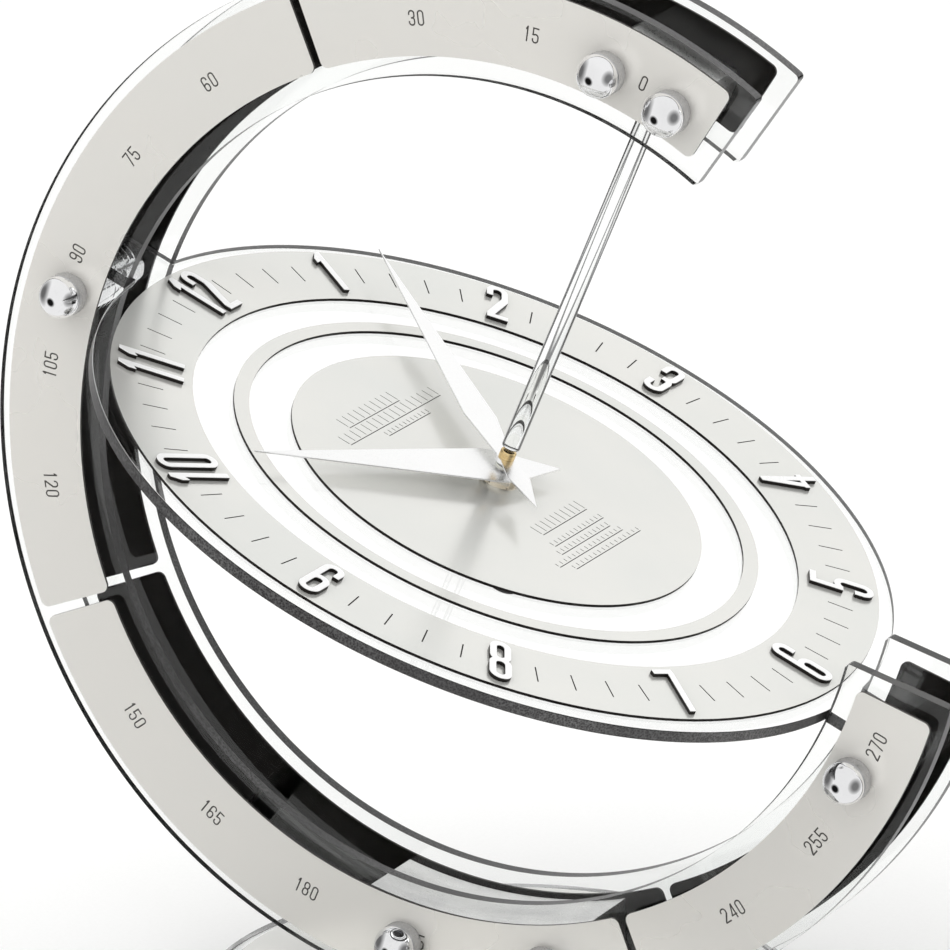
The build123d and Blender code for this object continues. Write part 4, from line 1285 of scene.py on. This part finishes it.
@dataclass
class Dial:
    """Clear dial disc with its laminate rings, centre plate and raised numbers."""

    radius: float = 133.0 * MM
    sheet: float = 4.0 * MM
    tab: float = 12.1 * MM
    reach: float = 148.8 * MM
    bore: float = 4.6 * MM
    laminate: float = 1.0 * MM
    skin: float = 0.05 * MM
    number_rise: float = 1.4 * MM
    number_skin: float = 0.2 * MM
    edge: float = 0.25 * MM

    def build(self) -> None:
        """Build the clear disc and dress what lies on it."""
        self.disc()
        level = CENTRE.dot(AXIS) + self.laminate
        plate = Laminate("laminate_dial", tuple(AXIS), level - self.skin)
        for node in ("hour_ring", "thin_ring", "centre_plate"):
            dress(node, plate)
        top = Laminate("laminate_numbers", tuple(AXIS),
                       level + self.number_rise - self.number_skin,
                       (0.93, 0.93, 0.93), (0.90, 0.90, 0.90), polish=0.26, metal=0.35)
        soft_copy("hour_numerals", "raised_numbers", 0.12 * MM, 60.0, Body.STAND,
                  top)

    def disc(self) -> None:
        """Join the round sheet with its two tabs, bore it and polish its edges."""
        piece = Bench.cylinder("clear_dial", self.radius, -self.sheet, 0.0, verts=360)
        tabs = Bench.block("tabs", (-self.tab, -self.reach, -self.sheet),
                           (self.tab, self.reach, 0.0))
        Bench.combine(piece, [tabs], "UNION")
        drill = Bench.cylinder("drill", self.bore, -2 * self.sheet, self.sheet)
        Bench.combine(piece, [drill], "DIFFERENCE")
        Bench.soften(piece, self.edge, 50.0)
        low_rim = self.radius - 0.3 * MM

        def rim(face: bpy.types.MeshPolygon) -> bool:
            """True on the upright faces of the rim and the tabs."""
            return face.center.xy.length > low_rim and abs(face.normal.z) < UPRIGHT

        # The rims get the sawn-edge finish, which is painted shade on clear acrylic.
        Bench.paint(piece, ACRYLIC, SAWN_PAINTED_SHADE, rim)
        Bench.place(piece, DIAL)
        hand_over(piece, Body.STAND, ACRYLIC, "dial_disc")


@dataclass
class PolarRod:
    """Clear round rod on the polar axis with polished ends."""

    radius: float = 3.0 * MM
    low: float = 12.9 * MM
    high: float = 152.0 * MM
    edge: float = 0.4 * MM
    inset: float = 0.12 * MM

    def build(self) -> None:
        """Turn the rod with softened ends."""
        radius, low, high, edge, inset = self.radius, self.low, self.high, self.edge, self.inset
        profile = [(0.0, low), (radius - edge, low), (radius - inset, low + inset),
                   (radius, low + edge), (radius, high - edge),
                   (radius - inset, high - inset), (radius - edge, high), (0.0, high)]
        piece = Bench.lathe("clear_rod", profile, 72)
        Bench.smooth(piece, 40.0)
        Bench.place(piece, DIAL)
        hand_over(piece, Body.STAND, ROD, "polar_rod")


@dataclass
class Hands:
    """Hour and minute hands with the nut that holds them."""

    nut_low: float = 8.9 * MM
    nut_high: float = 11.7 * MM
    nut_radius: float = 2.6 * MM
    nut_bore: float = 1.62 * MM
    nut_blind: float = 10.42 * MM
    rounding: float = 0.8 * MM
    nick: float = 0.1 * MM
    rings: tuple[float, ...] = (0.7 * MM, 1.1 * MM, 1.5 * MM)

    def build(self) -> None:
        """Soften the blades and turn the nut."""
        for node, body in (("minute_hand", Body.MINUTE), ("hour_hand", Body.HOUR)):
            soft_copy(node, f"{node}_blade", 0.08 * MM, 50.0, body, HAND)
        radius, nick, rounding = self.nut_radius, self.nick, self.rounding
        profile = [(0.0, self.nut_blind), (self.nut_bore, self.nut_blind),
                   (self.nut_bore, self.nut_low), (radius - nick, self.nut_low),
                   (radius, self.nut_low + nick)]
        for ring in self.rings:
            height = self.nut_low + ring
            profile += [(radius, height - nick), (radius - nick, height), (radius, height + nick)]
        for angle in range(0, 91, 18):
            turn = math.radians(angle)
            profile.append((radius - rounding + rounding * math.cos(turn),
                            self.nut_high - rounding + rounding * math.sin(turn)))
        profile.append((0.0, self.nut_high))
        nut = Bench.lathe("brass_cap_nut", profile, 48)
        Bench.smooth(nut, 30.0)
        Bench.place(nut, DIAL)
        hand_over(nut, Body.MINUTE, BRASS, "hand_nut")


@dataclass
class Movement:
    """Quartz movement under the dial."""

    pierced: tuple[str, ...] = ("case_cover",)
    soft: dict[str, tuple[Body, Slot, Finish]] = field(default_factory=lambda: {
        "case_front": (Body.STAND, Slot.BLACK, CASE),
        "case_cover": (Body.STAND, Slot.BLACK, CASE),
        "setting_knob": (Body.SETTING, Slot.BLACK, CASE),
        "clamp_nut": (Body.STAND, Slot.BRASS, PLATED),
        "movement_bush": (Body.STAND, Slot.BRASS, BRASS),
    })
    plain: dict[str, Finish] = field(default_factory=lambda: {
        "dial_washer": PLATED, "cell_contacts": STEEL, "stator": STEEL, "minute_arbor": STEEL,
        "train_bridge": CASE, "train_plate": CASE, "circuit_board": BOARD, "coil": COPPER,
        "cell": JACKET, "rotor": ACETAL, "intermediate_wheel": ACETAL, "second_wheel": ACETAL,
        "third_wheel": ACETAL, "centre_wheel": ACETAL, "hour_wheel": ACETAL,
        "motion_wheel": ACETAL,
    })

    def build(self) -> None:
        """Soften the outer pieces and dress the inner ones."""
        for node, (body, slot, finish) in self.soft.items():
            soft_copy(node, f"{node}_soft", 0.15 * MM, 50.0, body, finish,
                      node in self.pierced)
        for node, finish in self.plain.items():
            dress(node, finish)


@dataclass
class Base:
    """Round base: clear disc with a satin face, a steel weight, screws and feet."""

    edge: float = 0.25 * MM
    skin: float = 0.05 * MM

    def build(self) -> None:
        """Soften the clear disc and dress the rest."""
        soft_copy("base_disc", "clear_base", self.edge, 30.0, Body.STAND, ACRYLIC)
        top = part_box("base_face")[1].z
        face = Laminate("laminate_base", (0.0, 0.0, 1.0), top - self.skin)
        plain = {"base_face": face, "base_weight": STEEL, "base_screws": STEEL,
                 "base_feet": RUBBER}
        for node, finish in plain.items():
            dress(node, finish)


@dataclass
class Studio:
    """Pale floor, soft lights and the camera."""

    eye: Triple = (1.26177, -2.37492, 1.03633)
    azimuth: float = 28.061
    elevation: float = 17.527
    roll: float = -0.571
    lens: float = 342.9
    sensor: float = 36.0
    clip: float = 50.0
    tent: float = 1.04
    tent_tone: Colour = (1.0, 1.0, 0.995)
    reach: float = 20.0
    paper: tuple[Colour, Colour] = ((0.93, 0.93, 0.925), (0.95, 0.95, 0.945))
    paper_rough: float = 0.8
    fibre: float = 700.0
    lamps: tuple[tuple[str, Triple, float, float], ...] = (
        ("key_softbox", (-1.1, -0.9, 2.1), 2.0, 17.0),
        ("side_softbox", (2.0, 0.6, 1.2), 1.2, 7.0),
    )
    screens: tuple[tuple[Triple, float, float, float], ...] = (
        ((-1.0, -0.1, 0.15), 14.0, 44.0, 0.16),
        ((0.9, -0.2, -0.1), 15.0, 40.0, 0.22),
        ((0.53, 0.84, -0.09), 7.0, 11.0, 0.08),
        ((0.447, 0.84, 0.30), 3.0, 6.0, 0.05),
        ((-0.447, -0.84, -0.30), 14.0, 24.0, 0.01),
    )

    def build(self) -> None:
        """Make the floor, the world, the lights and the camera."""
        self.floor()
        self.world()
        for lamp in self.lamps:
            self.light(*lamp)
        self.camera()
        bpy.context.scene.view_settings.view_transform = "Standard"

    def floor(self) -> None:
        """Lay a wide pale floor that shows from above only and isn't mirrored."""
        profile = [(-self.reach, 0.0), (0.0, 0.0), (self.reach, 0.0)]
        piece = Bench.line("pale_floor", profile, closed=False)
        bpy.ops.mesh.select_all(action="SELECT")
        step = {"value": (0, 2 * self.reach, 0)}
        bpy.ops.mesh.extrude_region_move(TRANSFORM_OT_translate=step)
        Bench.clear()
        Bench.place(piece, Matrix.Translation((0, -self.reach, 0)))
        if piece.data.polygons[0].normal.z < 0:
            Bench.edit(piece)
            bpy.ops.mesh.flip_normals()
            Bench.clear()
        paper = bpy.data.materials.new("studio_paper")
        paper.use_nodes = True
        wires = Wires(paper.node_tree)
        shader = paper.node_tree.nodes["Principled BSDF"]
        surface = paper.node_tree.nodes["Material Output"].inputs["Surface"]
        where = wires.node("ShaderNodeTexCoord").outputs["Object"]
        fibre = wires.span(wires.noise(where, self.fibre, 3.0), 0.3, 0.7)
        dark, light = ((*tone, 1.0) for tone in self.paper)
        wires.link(wires.mix(fibre, dark, light), shader.inputs["Base Color"])
        shader.inputs["Roughness"].default_value = self.paper_rough
        under = wires.node("ShaderNodeMixShader")
        wires.link(wires.node("ShaderNodeNewGeometry").outputs["Backfacing"], under.inputs["Fac"])
        wires.link(shader.outputs["BSDF"], under.inputs[1])
        wires.link(wires.node("ShaderNodeBsdfTransparent").outputs["BSDF"], under.inputs[2])
        wires.link(under.outputs["Shader"], surface)
        piece.data.materials.append(paper)
        piece.visible_glossy = False

    def world(self) -> None:
        """Put up a light tent with dark screens in it, plain white to the camera."""
        world = bpy.data.worlds.new("studio")
        bpy.context.scene.world = world
        world.use_nodes = True
        wires = Wires(world.node_tree)
        where = wires.node("ShaderNodeTexCoord").outputs["Generated"]
        tone = (*self.tent_tone, 1.0)
        for aim, inner, outer, shade in self.screens:
            dot = wires.node("ShaderNodeVectorMath", operation="DOT_PRODUCT")
            wires.link(where, dot.inputs[0])
            dot.inputs[1].default_value = Vector(aim).normalized()
            edges = (math.cos(math.radians(angle)) for angle in (outer, inner))
            amount = wires.span(dot.outputs["Value"], *edges)
            tone = wires.mix(amount, tone, (shade, shade, shade, 1.0))
        paths = wires.node("ShaderNodeLightPath")
        seen = wires.mix(paths.outputs["Is Camera Ray"], tone, WHITE)
        background = world.node_tree.nodes["Background"]
        wires.link(seen, background.inputs["Color"])
        background.inputs["Strength"].default_value = self.tent

    def light(self, name: str, place: Triple, size: float, power: float) -> None:
        """Add a square soft light that faces the dial and isn't mirrored.

        Args:
            name: Name of the light.
            place: Where it hangs.
            size: Length of its side.
            power: Its power in watts.
        """
        lamp = bpy.data.lights.new(name, "AREA")
        lamp.size = size
        lamp.energy = power
        shown = bpy.data.objects.new(name, lamp)
        bpy.context.scene.collection.objects.link(shown)
        shown.visible_glossy = False
        shown.location = place
        shown.rotation_euler = (CENTRE - Vector(place)).to_track_quat("-Z", "Y").to_euler()

    def camera(self) -> None:
        """Add the camera at its viewing angle."""
        lens = bpy.data.cameras.new("view")
        lens.lens = self.lens
        lens.sensor_width = self.sensor
        lens.clip_end = self.clip
        shown = bpy.data.objects.new("view", lens)
        bpy.context.scene.collection.objects.link(shown)
        tilt, swing = math.radians(90 - self.elevation), math.radians(self.azimuth)
        aim = Euler((tilt, 0, swing)).to_matrix()
        turn = aim @ Matrix.Rotation(math.radians(self.roll), 3, "Z")
        shown.matrix_world = Matrix.Translation(self.eye) @ turn.to_4x4()
        bpy.context.scene.camera = shown


def write_sizes() -> None:
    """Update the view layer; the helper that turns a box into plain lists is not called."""
    def plain(box: object) -> list[list[float]]:
        """Turn a box into plain lists."""
        return [[float(value) for value in corner] for corner in box]

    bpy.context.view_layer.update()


def main() -> None:
    """Build every sub-assembly in order."""
    logging.basicConfig(level=logging.INFO, format="%(name)s: %(message)s")
    for part in (Base(), Meridian(), Dial(), PolarRod(), Movement(), Hands(), Studio()):
        LOG.info("-- %s", type(part).__name__)
        part.build()
    write_sizes()


if __name__ == "__main__":
    main()
